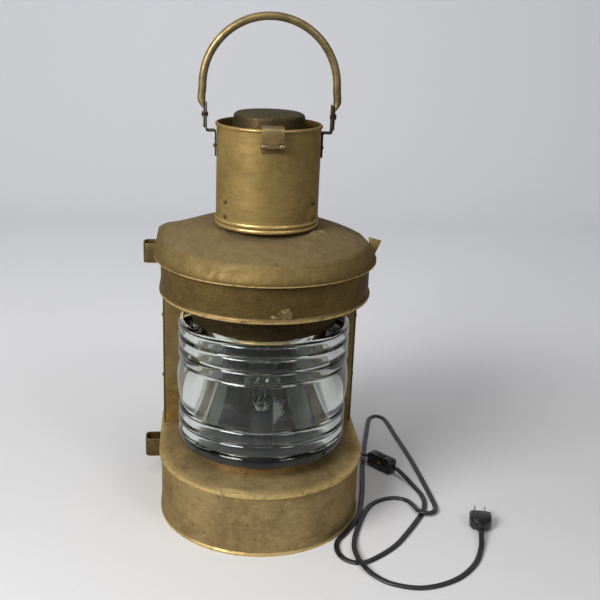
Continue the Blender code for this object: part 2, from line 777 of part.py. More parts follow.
def drum_lens():
    """The ribbed glass, a broad belt between two sets of ribs, with a plain bore."""
    section = lens_outline()
    section += [(LENS_BORE_RADIUS, LENS_END + LENS_TOP_LIP), (LENS_BORE_RADIUS, LENS_FOOT)]
    return arc_body("drum_lens", section, SCREEN_PLACE - GAP, LENS_STEPS, CLEAR_GLASS)


def upper_lens_collar():
    """The ring that holds the head of the lens under the band plate."""
    top = BAND_FOOT - GAP
    section = [
        (COLLAR_RADIUS, LENS_END + GAP),
        (COLLAR_RADIUS, top),
        (COLLAR_RADIUS - SHEET, top),
        (COLLAR_RADIUS - SHEET, LENS_END + GAP),
    ]
    return arc_body("upper_lens_collar", section, SCREEN_PLACE - GAP, LENS_STEPS, DARK_BRONZE)


def side_rivet_points():
    """Where the rivets go through the housing's sides into the screen plate's flanges."""
    depth = SCREEN_PLACE + SCREEN_FLANGE / 2
    return [Vector((side, depth, SEAT_LEVEL + level)) for side in (-1, 1) for level in SIDE_RIVET_LEVELS]


def side_rivet_holes():
    """The cutter for those rivets."""
    pins = []
    for point in side_rivet_points():
        outer = Vector((point.x * (HOUSING_HALF + OVERRUN), point.y, point.z))
        inner = Vector((point.x * (SCREEN_HALF - SHEET - OVERRUN), point.y, point.z))
        pins.append((inner, outer))
    return pin_cutter("side_rivet_holes", pins, RIVET_SHANK + GAP)


def doorway_section(width, height, radius, steps=BEND_STEPS):
    """A rounded rectangle about its own middle."""
    section = []
    for quarter, (side, end) in enumerate(((1, 1), (-1, 1), (-1, -1), (1, -1))):
        for step in range(steps + 1):
            angle = QUARTER_TURN * (quarter + step / steps)
            x = side * (width / 2 - radius) + radius * math.cos(angle)
            section.append((x, end * (height / 2 - radius) + radius * math.sin(angle)))
    return section


def doorway_cutter(name, depth):
    """A cutter for the doorway in a wall that faces along Y."""
    section = doorway_section(DOORWAY_WIDTH, DOORWAY_HEIGHT, DOORWAY_RADIUS)
    place = axes((1, 0, 0), (0, 0, 1), (0, depth, DOORWAY_MIDDLE))
    return hide_cutter(extruded(name, section, 2 * OVERRUN, place, None))


def screen_plate(form, rivet_holes):
    """The upright plate behind the lens, with its doorway and the side flanges it is riveted by."""
    front = SCREEN_PLACE + SHEET / 2
    end = SCREEN_PLACE + SCREEN_FLANGE
    half = SCREEN_HALF - SHEET / 2
    path = rounded_path([(-half, end), (-half, front), (half, front), (half, end)], SHEET)
    low = RIM_TOP
    place = axes((1, 0, 0), (0, 1, 0), (0, 0, (low + HOUSING_TOP) / 2))
    plate = extruded("screen_plate", strip_section(path, SHEET), HOUSING_TOP - low, place, WHITE_ENAMEL)
    cut(plate, form)
    cut(plate, doorway_cutter("screen_doorway", SCREEN_PLACE + SHEET / 2))
    return cut(plate, rivet_holes)


def rear_housing(form, rivet_holes):
    """The sides and back behind the screen plate, bent from one sheet, with the doorway of the lamp."""
    half = HOUSING_HALF - SHEET / 2
    back = BACK_FACE - SHEET / 2
    path = rounded_path([(-half, SCREEN_PLACE), (-half, back), (half, back), (half, SCREEN_PLACE)], HOUSING_BEND)
    low = RIM_TOP
    place = axes((1, 0, 0), (0, 1, 0), (0, 0, (low + HOUSING_TOP) / 2))
    housing = extruded("rear_housing", strip_section(path, SHEET), HOUSING_TOP - low, place, BRONZE)
    cut(housing, form)
    cut(housing, doorway_cutter("housing_doorway", BACK_FACE - SHEET / 2))
    return cut(housing, rivet_holes)


def side_rivets():
    """The rivets in the housing's sides."""
    for number, point in enumerate(side_rivet_points(), 1):
        outward = Vector((point.x, 0, 0))
        seat = Vector((point.x * (HOUSING_HALF + GAP), point.y, point.z))
        rivet(f"side_rivet_{number}", seat, outward, 2 * SHEET + 3 * GAP)


def band_shell(form):
    """The upper drum wall with the bead along its foot; its top follows the roof."""
    top = BAND_HEIGHT + ROOF_LIP + ROOF_STEEP_RISE
    outline = [(BEAD_PROUD * out_share, BEAD_HEIGHT * rise_share) for out_share, rise_share in BEAD_SHARES]
    outline += [(0, top), (-SHEET, top), (-SHEET, 0)]
    rings = [plan_ring(BAND_RADIUS + out, BACK_REACH + out, BAND_FOOT + level) for out, level in outline]
    return cut(lofted("band_shell", rings, BRONZE, closed=True), form)


def band_plate():
    """The plate across the foot of the band, open over the lens."""
    inside = SHEET + GAP
    hole = BAND_PLATE_HOLE
    rings = [
        plan_ring(BAND_RADIUS - inside, BACK_REACH - inside, BAND_FOOT),
        plan_ring(BAND_RADIUS - inside, BACK_REACH - inside, BAND_FOOT + SHEET),
        plan_ring(hole, hole, BAND_FOOT + SHEET, 1),
        plan_ring(hole, hole, BAND_FOOT, 1),
    ]
    return lofted("band_plate", rings, DARK_BRONZE, closed=True)


def roof_line():
    """The roof's outer face from its lip inwards, as (radius, level, round share) points."""
    knee = ROOF_RADIUS - ROOF_STEEP_RUN
    top_of_lip = ROOF_FOOT + ROOF_LIP
    knee_level = top_of_lip + ROOF_STEEP_RISE
    span = knee - ROOF_CROWN_RADIUS
    run_share, rise_share = ROOF_EDGE_SHARES
    line = [
        (ROOF_RADIUS, ROOF_FOOT, 0),
        (ROOF_RADIUS, top_of_lip, 0),
        (ROOF_RADIUS - ROOF_STEEP_RUN * run_share, top_of_lip + ROOF_STEEP_RISE * rise_share, 0),
    ]
    for in_share, up_share, round_share in ROOF_SLOPE_SHARES:
        line.append((knee - span * in_share, knee_level + ROOF_SLOPE_RISE * up_share, round_share))
    return line + [(ROOF_CROWN_RADIUS, ROOF_TOP, 1), (ROOF_HOLE_RADIUS, ROOF_TOP, 1)]


def roof_rings(drop):
    """Rings of the roof's face, or of a face below it by a drop square to the slope."""
    line = roof_line()
    face = [Vector((radius, level)) for radius, level, _ in line]
    moved = offset_line(face, drop) if drop else face
    rings = []
    for (_, _, share), point in zip(line, moved):
        back = BACK_REACH + ROOF_OVERHANG - (ROOF_RADIUS - point.x)
        if share == 1:
            back = point.x
        ring = plan_ring(point.x, back, point.y, share)
        rings.append([let_down(corner, point.x, drop) for corner in ring])
    return rings


def let_down(point, radius, drop):
    """A point of the roof, let down towards the back corners, where the dome runs out to the lip."""
    beyond = (point.xy.length / radius - 1) / ROOF_CORNER_REACH if point.y > 0 else 0
    beyond = min(1, max(0, beyond))
    run = (ROOF_RADIUS - drop - radius) / (ROOF_RADIUS - ROOF_CROWN_RADIUS)
    run = min(1, max(0, run))
    lip_top = ROOF_FOOT + ROOF_LIP
    low = min(point.z, lip_top - drop + (ROOF_TOP - lip_top) * run**ROOF_CORNER_CURVE)
    share = beyond * beyond * (3 - 2 * beyond)
    return Vector((point.x, point.y, point.z + (low - point.z) * share))


def roof():
    """The roof pan: an upright lip, a steep edge and a shallow crown that turns from the plan to a circle."""
    return lofted("roof", roof_rings(0) + list(reversed(roof_rings(SHEET))), BRONZE, closed=True)


def roof_form():
    """A cutter above the roof's under face and the fit gap, for what reaches up under the roof."""
    rings = roof_rings(SHEET + GAP)
    low = rings[0]
    wide = [point + Vector((point.x, point.y, 0)) for point in low]
    high = [Vector((point.x, point.y, ROOF_TOP + 2 * OVERRUN)) for point in wide]
    return hide_cutter(lofted("roof_form", list(reversed(rings)) + [wide, high], None))


def neck_tube():
    """The inner flue on the roof, with its foot flange."""
    foot = ROOF_TOP + GAP
    top = foot + NECK_HEIGHT
    profile = [
        (NECK_FLANGE_RADIUS, foot + SHEET),
        (NECK_RADIUS, foot + SHEET),
        (NECK_RADIUS, top),
        (NECK_RADIUS - SHEET, top),
        (NECK_RADIUS - SHEET, foot),
        (NECK_FLANGE_RADIUS, foot),
    ]
    return turned("neck_tube", profile, DARK_BRONZE, closed=True)


def bracket_rivet_points():
    """Seats of the chimney rivets in the two front brackets, each with the direction that its head faces."""
    points = []
    for angle in RIVETED_ANGLES:
        outward = Vector((math.cos(angle), math.sin(angle), 0))
        for level in BRACKET_RIVET_LEVELS:
            points.append((outward * (CHIMNEY_RADIUS + GAP) + Vector((0, 0, CHIMNEY_FOOT + level)), outward))
    return points


def ear_rivet_points():
    """Seats of the rivets that hold the bail's ears to the chimney."""
    level = CHIMNEY_RIM - EAR_DROP - EAR_RIVET_DROP
    reach = CHIMNEY_RADIUS + GAP + EAR_SHEET + GAP
    return [(Vector((side * reach, 0, level)), Vector((side, 0, 0))) for side in (-1, 1)]


def rivet_holes(name, points, depth):
    """A cutter for rivets that go inwards from their seats."""
    pins = [(seat - outward * depth, seat + outward * OVERRUN) for seat, outward in points]
    return pin_cutter(name, pins, RIVET_SHANK + GAP)


def chimney_shell():
    """The chimney: a plain wall between a wired rim and a foot with two beads."""
    foot = CHIMNEY_FOOT
    profile = []
    for out_share, rise_share in FOOT_BEAD_SHARES:
        profile.append((CHIMNEY_RADIUS + FOOT_BEAD_PROUD * out_share, foot + FOOT_BEAD_PITCH * rise_share))
    middle = CHIMNEY_RADIUS + RIM_BEAD_PROUD - RIM_BEAD_RADIUS
    for step in range(RIM_BEAD_STEPS + 1):
        angle = RIM_BEAD_START + RIM_BEAD_SWEEP * step / RIM_BEAD_STEPS
        rise = CHIMNEY_RIM - RIM_BEAD_RADIUS + RIM_BEAD_RADIUS * math.sin(angle)
        profile.append((middle + RIM_BEAD_RADIUS * math.cos(angle), rise))
    profile += [(CHIMNEY_BORE, CHIMNEY_RIM - RIM_BEAD_RADIUS), (CHIMNEY_BORE, foot)]
    shell = turned("chimney_shell", profile, BRONZE, closed=True)
    cut(shell, rivet_holes("bracket_rivet_holes", bracket_rivet_points(), 2 * OVERRUN))
    return cut(shell, rivet_holes("ear_rivet_holes", ear_rivet_points(), 2 * OVERRUN))


def chimney_brackets():
    """Three bent straps that carry the chimney clear of the roof: two riveted, and one at the back soldered."""
    bore = CHIMNEY_BORE - GAP
    outer_face = math.sqrt(bore**2 - (BRACKET_WIDTH / 2) ** 2)
    leg = outer_face - BRACKET_SHEET / 2
    foot = ROOF_TOP + GAP + BRACKET_SHEET / 2
    path = rounded_path([(leg - BRACKET_FOOT, foot), (leg, foot), (leg, foot + BRACKET_LEG)], BRACKET_BEND)
    section = strip_section(path, BRACKET_SHEET)
    seats = bracket_rivet_points()
    for number, angle in enumerate((*RIVETED_ANGLES, SOLDERED_ANGLE), 1):
        outward = (math.cos(angle), math.sin(angle), 0)
        bracket = extruded(
            f"chimney_bracket_{number}", section, BRACKET_WIDTH, axes(outward, (0, 0, 1)), DARK_BRONZE
        )
        pair = seats[2 * number - 2 : 2 * number]
        if not pair:
            continue
        cut(bracket, rivet_holes(f"bracket_holes_{number}", pair, 2 * OVERRUN))
        grip = CHIMNEY_RADIUS + GAP - (leg - BRACKET_SHEET / 2) + GAP
        for place, (seat, direction) in zip(("lower", "upper"), pair):
            rivet(f"chimney_rivet_{number}_{place}", seat, direction, grip)


def ear_sections():
    """The side view of one ear, from the foot of its leg to the top of its leaf."""
    leg = CHIMNEY_RADIUS + GAP + EAR_SHEET / 2
    leaf = leg + EAR_STAND_OFF
    step = CHIMNEY_RIM - EAR_DROP
    path = rounded_path([(leg, step - EAR_LEG), (leg, step), (leaf, step), (leaf, step + EAR_LEAF)], EAR_BEND)
    return strip_section(path, EAR_SHEET), leaf


def bail_ears():
    """The two ears on the chimney, with the rivets that hold them."""
    section, leaf = ear_sections()
    grip = EAR_SHEET + SHEET + 3 * GAP
    for name, side, (seat, outward) in zip(("left", "right"), (-1, 1), ear_rivet_points()):
        place = axes((side, 0, 0), (0, 0, 1))
        ear = extruded(f"bail_ear_{name}", section, EAR_WIDTH, place, DARK_BRONZE)
        cut(ear, rivet_holes(f"ear_hole_{name}", [(seat, outward)], 2 * OVERRUN))
        pivot = Vector((side * leaf, 0, BAIL_PIVOT))
        pins = [(pivot - outward * OVERRUN, pivot + outward * OVERRUN)]
        cut(ear, pin_cutter(f"ear_pivot_hole_{name}", pins, PIVOT_SHANK + GAP))
        rivet(f"ear_rivet_{name}", seat, outward, grip)


def bail():
    """The tube bail, with its two ends flattened into tongues outside the ears."""
    _, leaf = ear_sections()
    tongue = leaf + EAR_SHEET / 2 + GAP + TONGUE_THICKNESS / 2
    spring = BAIL_PIVOT + BAIL_LEG
    flat = (TONGUE_THICKNESS / 2, TONGUE_WIDTH / 2)
    flat_top = CHIMNEY_RIM - EAR_DROP + EAR_LEAF + TONGUE_CLEAR
    stations = []
    for width_share, drop_share in TONGUE_TIP_SHARES:
        stations.append((tongue, BAIL_PIVOT - TONGUE_TIP * drop_share, flat[0], flat[1] * width_share))
    stations += [
        (tongue, flat_top, *flat),
        (
            (tongue + BAIL_ARCH_RADIUS) / 2,
            flat_top + TONGUE_SWELL / 2,
            (flat[0] + BAIL_TUBE_RADIUS) / 2,
            (flat[1] + BAIL_TUBE_RADIUS) / 2,
        ),
        (BAIL_ARCH_RADIUS, flat_top + TONGUE_SWELL, BAIL_TUBE_RADIUS, BAIL_TUBE_RADIUS),
    ]
    rings = []
    for out, level, thick, wide in stations:
        ring = []
        for step in range(BAIL_SIDES):
            angle = FULL_TURN * (step + 1 / 2) / BAIL_SIDES
            ring.append(Vector((out + thick * math.cos(angle), wide * math.sin(angle), level)))
        rings.append(ring)
    for station in range(BAIL_ARCH_STEPS // 2):
        turn = HALF_TURN * station / BAIL_ARCH_STEPS
        ring = []
        for step in range(BAIL_SIDES):
            angle = FULL_TURN * (step + 1 / 2) / BAIL_SIDES
            reach = BAIL_ARCH_RADIUS + BAIL_TUBE_RADIUS * math.cos(angle)
            side = BAIL_TUBE_RADIUS * math.sin(angle)
            ring.append(Vector((reach * math.cos(turn), side, spring + reach * math.sin(turn))))
        rings.append(ring)
    middle = []
    for step in range(BAIL_SIDES):
        angle = FULL_TURN * (step + 1 / 2) / BAIL_SIDES
        reach = BAIL_ARCH_RADIUS + BAIL_TUBE_RADIUS * math.cos(angle)
        middle.append(Vector((0, BAIL_TUBE_RADIUS * math.sin(angle), spring + reach)))
    mirrored = [[Vector((-point.x, point.y, point.z)) for point in ring] for ring in reversed(rings)]
    body = lofted("bail", rings + [middle] + mirrored, BRONZE, origin=(0, 0, BAIL_PIVOT))
    across = Vector((tongue + OVERRUN, 0, 0))
    pivot = Vector((0, 0, BAIL_PIVOT))
    cut(body, pin_cutter("bail_pivot_hole", [(pivot - across, pivot + across)], PIVOT_SHANK + GAP))
    grip = EAR_SHEET + TONGUE_THICKNESS + 3 * GAP
    for name, side in (("left", -1), ("right", 1)):
        seat = Vector((side * (tongue + TONGUE_THICKNESS / 2 + GAP), 0, BAIL_PIVOT))
        rivet(f"bail_pivot_{name}", seat, (side, 0, 0), grip, DARK_BRONZE, PIVOT_HEAD_RADIUS, PIVOT_SHANK)
    return body


def cap_profile():
    """The vent cap's outer face, from its crown to its foot."""
    top = CHIMNEY_RIM + CAP_ABOVE_RIM
    shoulder = top - CAP_CROWN
    wall_top = CAP_RADIUS - CAP_DRAFT
    return [
        (0, top),
        (CAP_TOP_RADIUS * CAP_CROWN_SHARES[0], top - CAP_CROWN * CAP_CROWN_SHARES[1]),
        (CAP_TOP_RADIUS, shoulder),
        (
            CAP_TOP_RADIUS + (wall_top - CAP_TOP_RADIUS) * CAP_SHOULDER_SHARES[0],
            shoulder - CAP_SHOULDER_DROP * CAP_SHOULDER_SHARES[1],
        ),
        (wall_top, shoulder - CAP_SHOULDER_DROP),
        (CAP_RADIUS, top - CAP_HEIGHT),
    ]


def vent_cap():
    """The cap over the flue, a plain turned cup."""
    outer = cap_profile()
    top = outer[0][1]
    inner = [(radius - SHEET, level - SHEET / 2) for radius, level in outer[1:-1]]
    inner[0] = (outer[1][0], outer[1][1] - SHEET)
    inner[1] = (outer[2][0] - SHEET / 2, outer[2][1] - SHEET)
    profile = outer + [(CAP_RADIUS - SHEET, outer[-1][1])] + list(reversed(inner)) + [(0, top - SHEET)]
    return turned("vent_cap", profile, BRONZE, origin=(0, HINGE_PLACE, HINGE_LEVEL))


def curl(centre, start_angle, sweep):
    """Points round a hinge curl about its pin."""
    points = []
    steps = 3 * BEND_STEPS
    for step in range(steps + 1):
        angle = start_angle + sweep * step / steps
        points.append(Vector((centre[0] + CURL_RADIUS * math.cos(angle), centre[1] + CURL_RADIUS * math.sin(angle))))
    return points


def cap_strap():
    """The strap from the vent cap over the rim to the hinge, curled round the pin at its foot."""
    line = -HINGE_PLACE
    up = CHIMNEY_RIM + GAP + STRAP_OVER_RIM + HINGE_SHEET / 2
    outer = cap_profile()
    share = (outer[4][1] - up + STRAP_TAB) / (outer[4][1] - outer[5][1])
    wall = outer[4][0] + (outer[5][0] - outer[4][0]) * share
    inner_end = wall + GAP + HINGE_SHEET / 2
    plate = line + CURL_RADIUS
    centre = (line, HINGE_LEVEL)
    run = rounded_path([(plate, HINGE_LEVEL), (plate, up), (inner_end, up), (inner_end, up - STRAP_TAB)], STRAP_BEND)
    path = list(reversed(curl(centre, 0, -HINGE_CURL)))[:-1] + run
    section = strip_section(path, HINGE_SHEET)
    place = axes((0, -1, 0), (0, 0, 1))
    strap = extruded("cap_strap", section, HINGE_WIDTH, place, DARK_BRONZE, (0, HINGE_PLACE, HINGE_LEVEL))
    reach = CURL_RADIUS + HINGE_SHEET
    for name, side in (("left", -1), ("right", 1)):
        ends = sorted((side * HINGE_KNUCKLE / 2, side * (HINGE_WIDTH / 2 + OVERRUN)))
        low = (ends[0], HINGE_PLACE - reach, HINGE_LEVEL - reach)
        high = (ends[1], HINGE_PLACE + reach, HINGE_LEVEL + reach)
        cut(strap, box_cutter(f"strap_notch_{name}", low, high))
    return strap


def cap_hinge_leaf():
    """The fixed leaf on the chimney, curled round the pin on each side of the strap."""
    line = -HINGE_PLACE
    wall = CHIMNEY_RADIUS + GAP + HINGE_SHEET / 2
    centre = (line, HINGE_LEVEL)
    near = line - CURL_RADIUS
    foot = HINGE_LEVEL - HINGE_LEAF_LENGTH
    neck = HINGE_LEVEL - CURL_RADIUS - HINGE_SHEET
    run = [Vector((wall, foot)), Vector((wall, neck)), Vector((near, HINGE_LEVEL))]
    path = run + curl(centre, HALF_TURN, -HINGE_CURL)[1:]
    section = strip_section(path, HINGE_SHEET)
    leaf = extruded("cap_hinge_leaf", section, HINGE_WIDTH, axes((0, -1, 0), (0, 0, 1)), DARK_BRONZE)
    reach = CURL_RADIUS + HINGE_SHEET + GAP
    half = HINGE_KNUCKLE / 2 + GAP
    low = (-half, HINGE_PLACE - reach, HINGE_LEVEL - reach)
    high = (half, HINGE_PLACE + reach, HINGE_LEVEL + reach)
    return cut(leaf, box_cutter("leaf_notch", low, high))


def side_loops():
    """Two bent straps on the left side, open up and down, for the prongs of the ship's bracket."""
    for name, wall, level in (
        ("upper", BAND_RADIUS, BAND_FOOT + UPPER_LOOP_LIFT + LOOP_HEIGHT / 2),
        ("lower", BODY_RADIUS, LOWER_LOOP_LEVEL),
    ):
        inner = wall + GAP + LOOP_SHEET / 2
        outer = wall + LOOP_REACH - LOOP_SHEET / 2
        half = LOOP_WIDTH / 2 - LOOP_SHEET / 2
        points = [
            (-inner, -half - LOOP_FOOT),
            (-inner, -half),
            (-outer, -half),
            (-outer, half),
            (-inner, half),
            (-inner, half + LOOP_FOOT),
        ]
        path = rounded_path(points, LOOP_BEND)
        place = axes((1, 0, 0), (0, 1, 0), (0, LOOP_PLACE, level))
        extruded(f"side_loop_{name}", strip_section(path, LOOP_SHEET), LOOP_HEIGHT, place, BRONZE)


def rear_door():
    """The lamp door on the back: a flat rim round a panel that is pressed outwards."""
    width = DOOR_WIDTH
    height = DOOR_HEIGHT
    inset = DOOR_SWAGE_INSET
    slope = DOOR_SWAGE_SLOPE
    rings = []
    for trim, out in ((0, SHEET), (inset, SHEET), (inset + slope, SHEET + DOOR_SWAGE)):
        section = doorway_section(width - 2 * trim, height - 2 * trim, DOOR_CORNER)
        rings.append([Vector((x, DOOR_FACE + out, DOORWAY_MIDDLE + z)) for x, z in section])
    inner = []
    for trim, out in ((0, 0), (inset + SHEET, 0), (inset + slope + SHEET, DOOR_SWAGE)):
        section = doorway_section(width - 2 * trim, height - 2 * trim, DOOR_CORNER)
        inner.append([Vector((x, DOOR_FACE + out, DOORWAY_MIDDLE + z)) for x, z in section])
    rings = list(reversed(rings)) + inner
    origin = Vector((DOOR_AXIS.x, DOOR_AXIS.y, DOORWAY_MIDDLE))
    door = lofted("rear_door", rings, BRONZE, origin=origin)
    knob = knob_place()
    pins = [(knob - Vector((0, OVERRUN, 0)), knob + Vector((0, OVERRUN, 0)))]
    return cut(door, pin_cutter("knob_hole", pins, KNOB_SHANK + GAP))


def door_axis_box(half, margin):
    """The corners of a box round the door's hinge axis."""
    reach = CURL_RADIUS + HINGE_SHEET + margin
    low = (DOOR_AXIS.x - reach, DOOR_AXIS.y - reach, DOORWAY_MIDDLE - half)
    high = (DOOR_AXIS.x + reach, DOOR_AXIS.y + reach, DOORWAY_MIDDLE + half)
    return low, high


def door_hinge_leaf():
    """The fixed leaf of the door's hinge, flat on the housing, with a curl at each end of the pin."""
    centre = (DOOR_AXIS.x, DOOR_AXIS.y)
    flat_end = Vector((DOOR_AXIS.x - DOOR_LEAF_WIDTH, DOOR_AXIS.y - CURL_RADIUS))
    path = [flat_end] + curl(centre, -QUARTER_TURN, HINGE_CURL)
    place = axes((1, 0, 0), (0, 1, 0), (0, 0, DOORWAY_MIDDLE))
    section = strip_section(path, HINGE_SHEET)
    leaf = extruded("door_hinge_leaf", section, DOOR_HINGE_LENGTH, place, DARK_BRONZE)
    low, high = door_axis_box(DOOR_KNUCKLE / 2 + DOOR_HINGE_GAP, GAP)
    return cut(leaf, box_cutter("door_leaf_notch", low, high))


def door_hinge_strap():
    """The moving leaf of the door's hinge, which laps the face of the door."""
    centre = (DOOR_AXIS.x, DOOR_AXIS.y)
    flat = DOOR_FACE + SHEET + GAP + HINGE_SHEET / 2
    near = DOOR_AXIS.x + CURL_RADIUS
    end = -DOOR_WIDTH / 2 + DOOR_SWAGE_INSET - DOOR_SWAGE_SLOPE
    path = [Vector((end, flat)), Vector((near + HINGE_SHEET / 2, flat)), Vector((near, DOOR_AXIS.y))]
    path += curl(centre, 0, STRAP_CURL)[1:]
    place = axes((1, 0, 0), (0, 1, 0), (0, 0, DOORWAY_MIDDLE))
    origin = Vector((DOOR_AXIS.x, DOOR_AXIS.y, DOORWAY_MIDDLE))
    section = strip_section(path, HINGE_SHEET)
    return extruded("door_hinge_strap", section, DOOR_KNUCKLE, place, DARK_BRONZE, origin)


def hinge_pin(name, half, place):
    """A hinge pin with a small head at each end."""
    profile = [
        (0, -half - HINGE_SHEET / 2),
        (HINGE_PIN_HEAD, -half - HINGE_SHEET / 2),
        (HINGE_PIN_HEAD, -half),
        (HINGE_PIN_RADIUS, -half),
        (HINGE_PIN_RADIUS, half),
        (HINGE_PIN_HEAD, half),
        (HINGE_PIN_HEAD, half + HINGE_SHEET / 2),
        (0, half + HINGE_SHEET / 2),
    ]
    return turned(name, profile, DARK_BRONZE, steps=RIVET_STEPS, place=place)


def knob_place():
    """Where the door's knob is fixed, on the panel near its free edge."""
    across = DOOR_WIDTH / 2 - DOOR_SWAGE_INSET - DOOR_SWAGE_SLOPE - 2 * KNOB_RADIUS
    return Vector((across, DOOR_FACE + DOOR_SWAGE + SHEET, DOORWAY_MIDDLE))


def door_knob():
    """The knob that the door is opened by, with its shank peened over inside."""
    seat = knob_place() + Vector((0, GAP, 0))
    profile = [(KNOB_RADIUS * radius_share, KNOB_LENGTH * rise_share) for radius_share, rise_share in KNOB_SHARES]
    behind = -(SHEET + 3 * GAP)
    profile += [
        (KNOB_NECK, KNOB_LENGTH / 2),
        (KNOB_NECK, 0),
        (KNOB_SHANK, 0),
        (KNOB_SHANK, behind),
        (KNOB_NECK, behind),
        (KNOB_NECK, behind - RIVET_TAIL),
        (0, behind - RIVET_TAIL),
    ]
    origin = Vector((DOOR_AXIS.x, DOOR_AXIS.y, DOORWAY_MIDDLE))
    return turned("door_knob", profile, BRASS, steps=BULB_STEPS, place=along((0, 1, 0), seat), origin=origin)


def lamp_tray():
    """The disc across the foot of the lens, trimmed straight in front of the screen plate; it carries the lamp."""
    foot = LOWER_COLLAR_FOOT
    bore = PIPE_RADIUS + GAP
    profile = [(TRAY_RADIUS, foot), (TRAY_RADIUS, foot + SHEET), (bore, foot + SHEET), (bore, foot)]
    tray = turned("lamp_tray", profile, BLACK_PAINT, closed=True)
    low = (-TRAY_RADIUS, SCREEN_PLACE - GAP, foot - OVERRUN)
    high = (TRAY_RADIUS, TRAY_RADIUS + OVERRUN, foot + OVERRUN)
    return cut(tray, box_cutter("tray_trim", low, high))


def lamp_pipe():
    """The threaded pipe that the wire comes up through, with the nut under the tray."""
    foot = LOWER_COLLAR_FOOT
    low = foot - PIPE_BELOW
    high = foot + SHEET + PIPE_ABOVE
    profile = [(PIPE_RADIUS, low), (PIPE_RADIUS, high), (PIPE_BORE, high), (PIPE_BORE, low)]
    turned("lamp_pipe", profile, BRASS, closed=True, steps=2 * RIVET_STEPS)
    bore = PIPE_RADIUS + GAP
    start = foot - GAP - NUT_HEIGHT
    rings = [
        doubled(circle_ring(NUT_RADIUS, start, NUT_SIDES)),
        doubled(circle_ring(NUT_RADIUS, start + NUT_HEIGHT, NUT_SIDES)),
        circle_ring(bore, start + NUT_HEIGHT, 2 * NUT_SIDES),
        circle_ring(bore, start, 2 * NUT_SIDES),
    ]
    lofted("pipe_nut", rings, BRASS, closed=True)


def doubled(ring):
    """A ring with the middle of each of its sides added."""
    points = []
    for index, point in enumerate(ring):
        points += [point, (point + ring[(index + 1) % len(ring)]) / 2]
    return points


def lamp_socket():
    """The lamp holder: a cap on the pipe and a shell round the bulb's screw cap."""
    foot = LOWER_COLLAR_FOOT + SHEET + GAP
    bore = PIPE_RADIUS + GAP
    outer = BULB_CAP_RADIUS + GAP + 2 * SHEET + GAP
    top = foot + SOCKET_CAP_HEIGHT
    cap = [
        (outer - SOCKET_CAP_TAPER, foot),
        (outer, foot + SOCKET_CAP_TAPER),
        (outer, top),
        (outer - SHEET, top),
        (outer - SHEET, foot + SOCKET_CAP_TAPER + SHEET / 2),
        (outer - SOCKET_CAP_TAPER - SHEET / 2, foot + SHEET),
        (bore, foot + SHEET),
        (bore, foot),
    ]
    turned("socket_cap", cap, BLACK_PHENOLIC, closed=True, steps=BULB_STEPS)
    start = foot + SOCKET_CAP_TAPER + SHEET + GAP
    shell = BULB_CAP_RADIUS + GAP + SHEET
    end = start + SOCKET_SHELL_HEIGHT
    profile = [(shell, start), (shell, end), (shell - SHEET, end), (shell - SHEET, start)]
    turned("socket_shell", profile, BLACK_PHENOLIC, closed=True, steps=BULB_STEPS)
    return end


def bulb(level):
    """The bulb: a screw cap down in the socket and an open-necked glass envelope on it."""
    low = level - BULB_CAP_HEIGHT + BULB_CAP_LIP
    top = level + BULB_CAP_LIP
    cap = [
        (0, low),
        (BULB_CAP_RADIUS / 2, low),
        (BULB_CAP_RADIUS, low + BULB_CAP_LIP),
        (BULB_CAP_RADIUS, top),
        (0, top),
    ]
    turned("bulb_cap", cap, STEEL, steps=BULB_STEPS)
    foot = top + GAP
    centre = foot + BULB_NECK + BULB_RADIUS
    outer = [(BULB_NECK_RADIUS, foot)]
    inner = [(BULB_NECK_RADIUS - BULB_GLASS, foot)]
    for step in range(BULB_ARC_STEPS + 1):
        angle = BULB_ARC_START + (QUARTER_TURN - BULB_ARC_START) * step / BULB_ARC_STEPS
        for line, radius in ((outer, BULB_RADIUS), (inner, BULB_RADIUS - BULB_GLASS)):
            reach = 0 if step == BULB_ARC_STEPS else radius * math.cos(angle)
            line.append((reach, centre + radius * math.sin(angle)))
    return turned("bulb_glass", list(reversed(outer)) + inner, CLEAR_GLASS, steps=BULB_STEPS)


def smooth_curve(points):
    """Many points along a smooth curve through a route's own points."""
    fine = []
    line = [2 * points[0] - points[1]] + points + [2 * points[-1] - points[-2]]
    for before, start, end, after in zip(line, line[1:], line[2:], line[3:]):
        for step in range(CURVE_STEPS):
            t = step / CURVE_STEPS
            fine.append(
                (
                    start * 2
                    + (end - before) * t
                    + (before * 2 - start * 5 + end * 4 - after) * t * t
                    + (start * 3 - before - end * 3 + after) * t * t * t
                )
                / 2
            )
    fine.append(points[-1])
    return fine


def stray(points):
    """How far a run of points strays from the straight line between its ends."""
    start = points[0]
    run = (points[-1] - start).normalized()
    return max((point - start - run * (point - start).dot(run)).length for point in points)


def thinned(fine):
    """The fewest of a curve's points that stay near it: close together in its bends and far apart between."""
    kept = [fine[0]]
    place = 0
    while place < len(fine) - 1:
        following = place + 1
        while following < len(fine) - 1:
            run = fine[place : following + 2]
            if stray(run) > CORD_STRAY or (run[-1] - run[0]).length > CORD_REACH:
                break
            following += 1
        kept.append(fine[following])
        place = following
    return kept


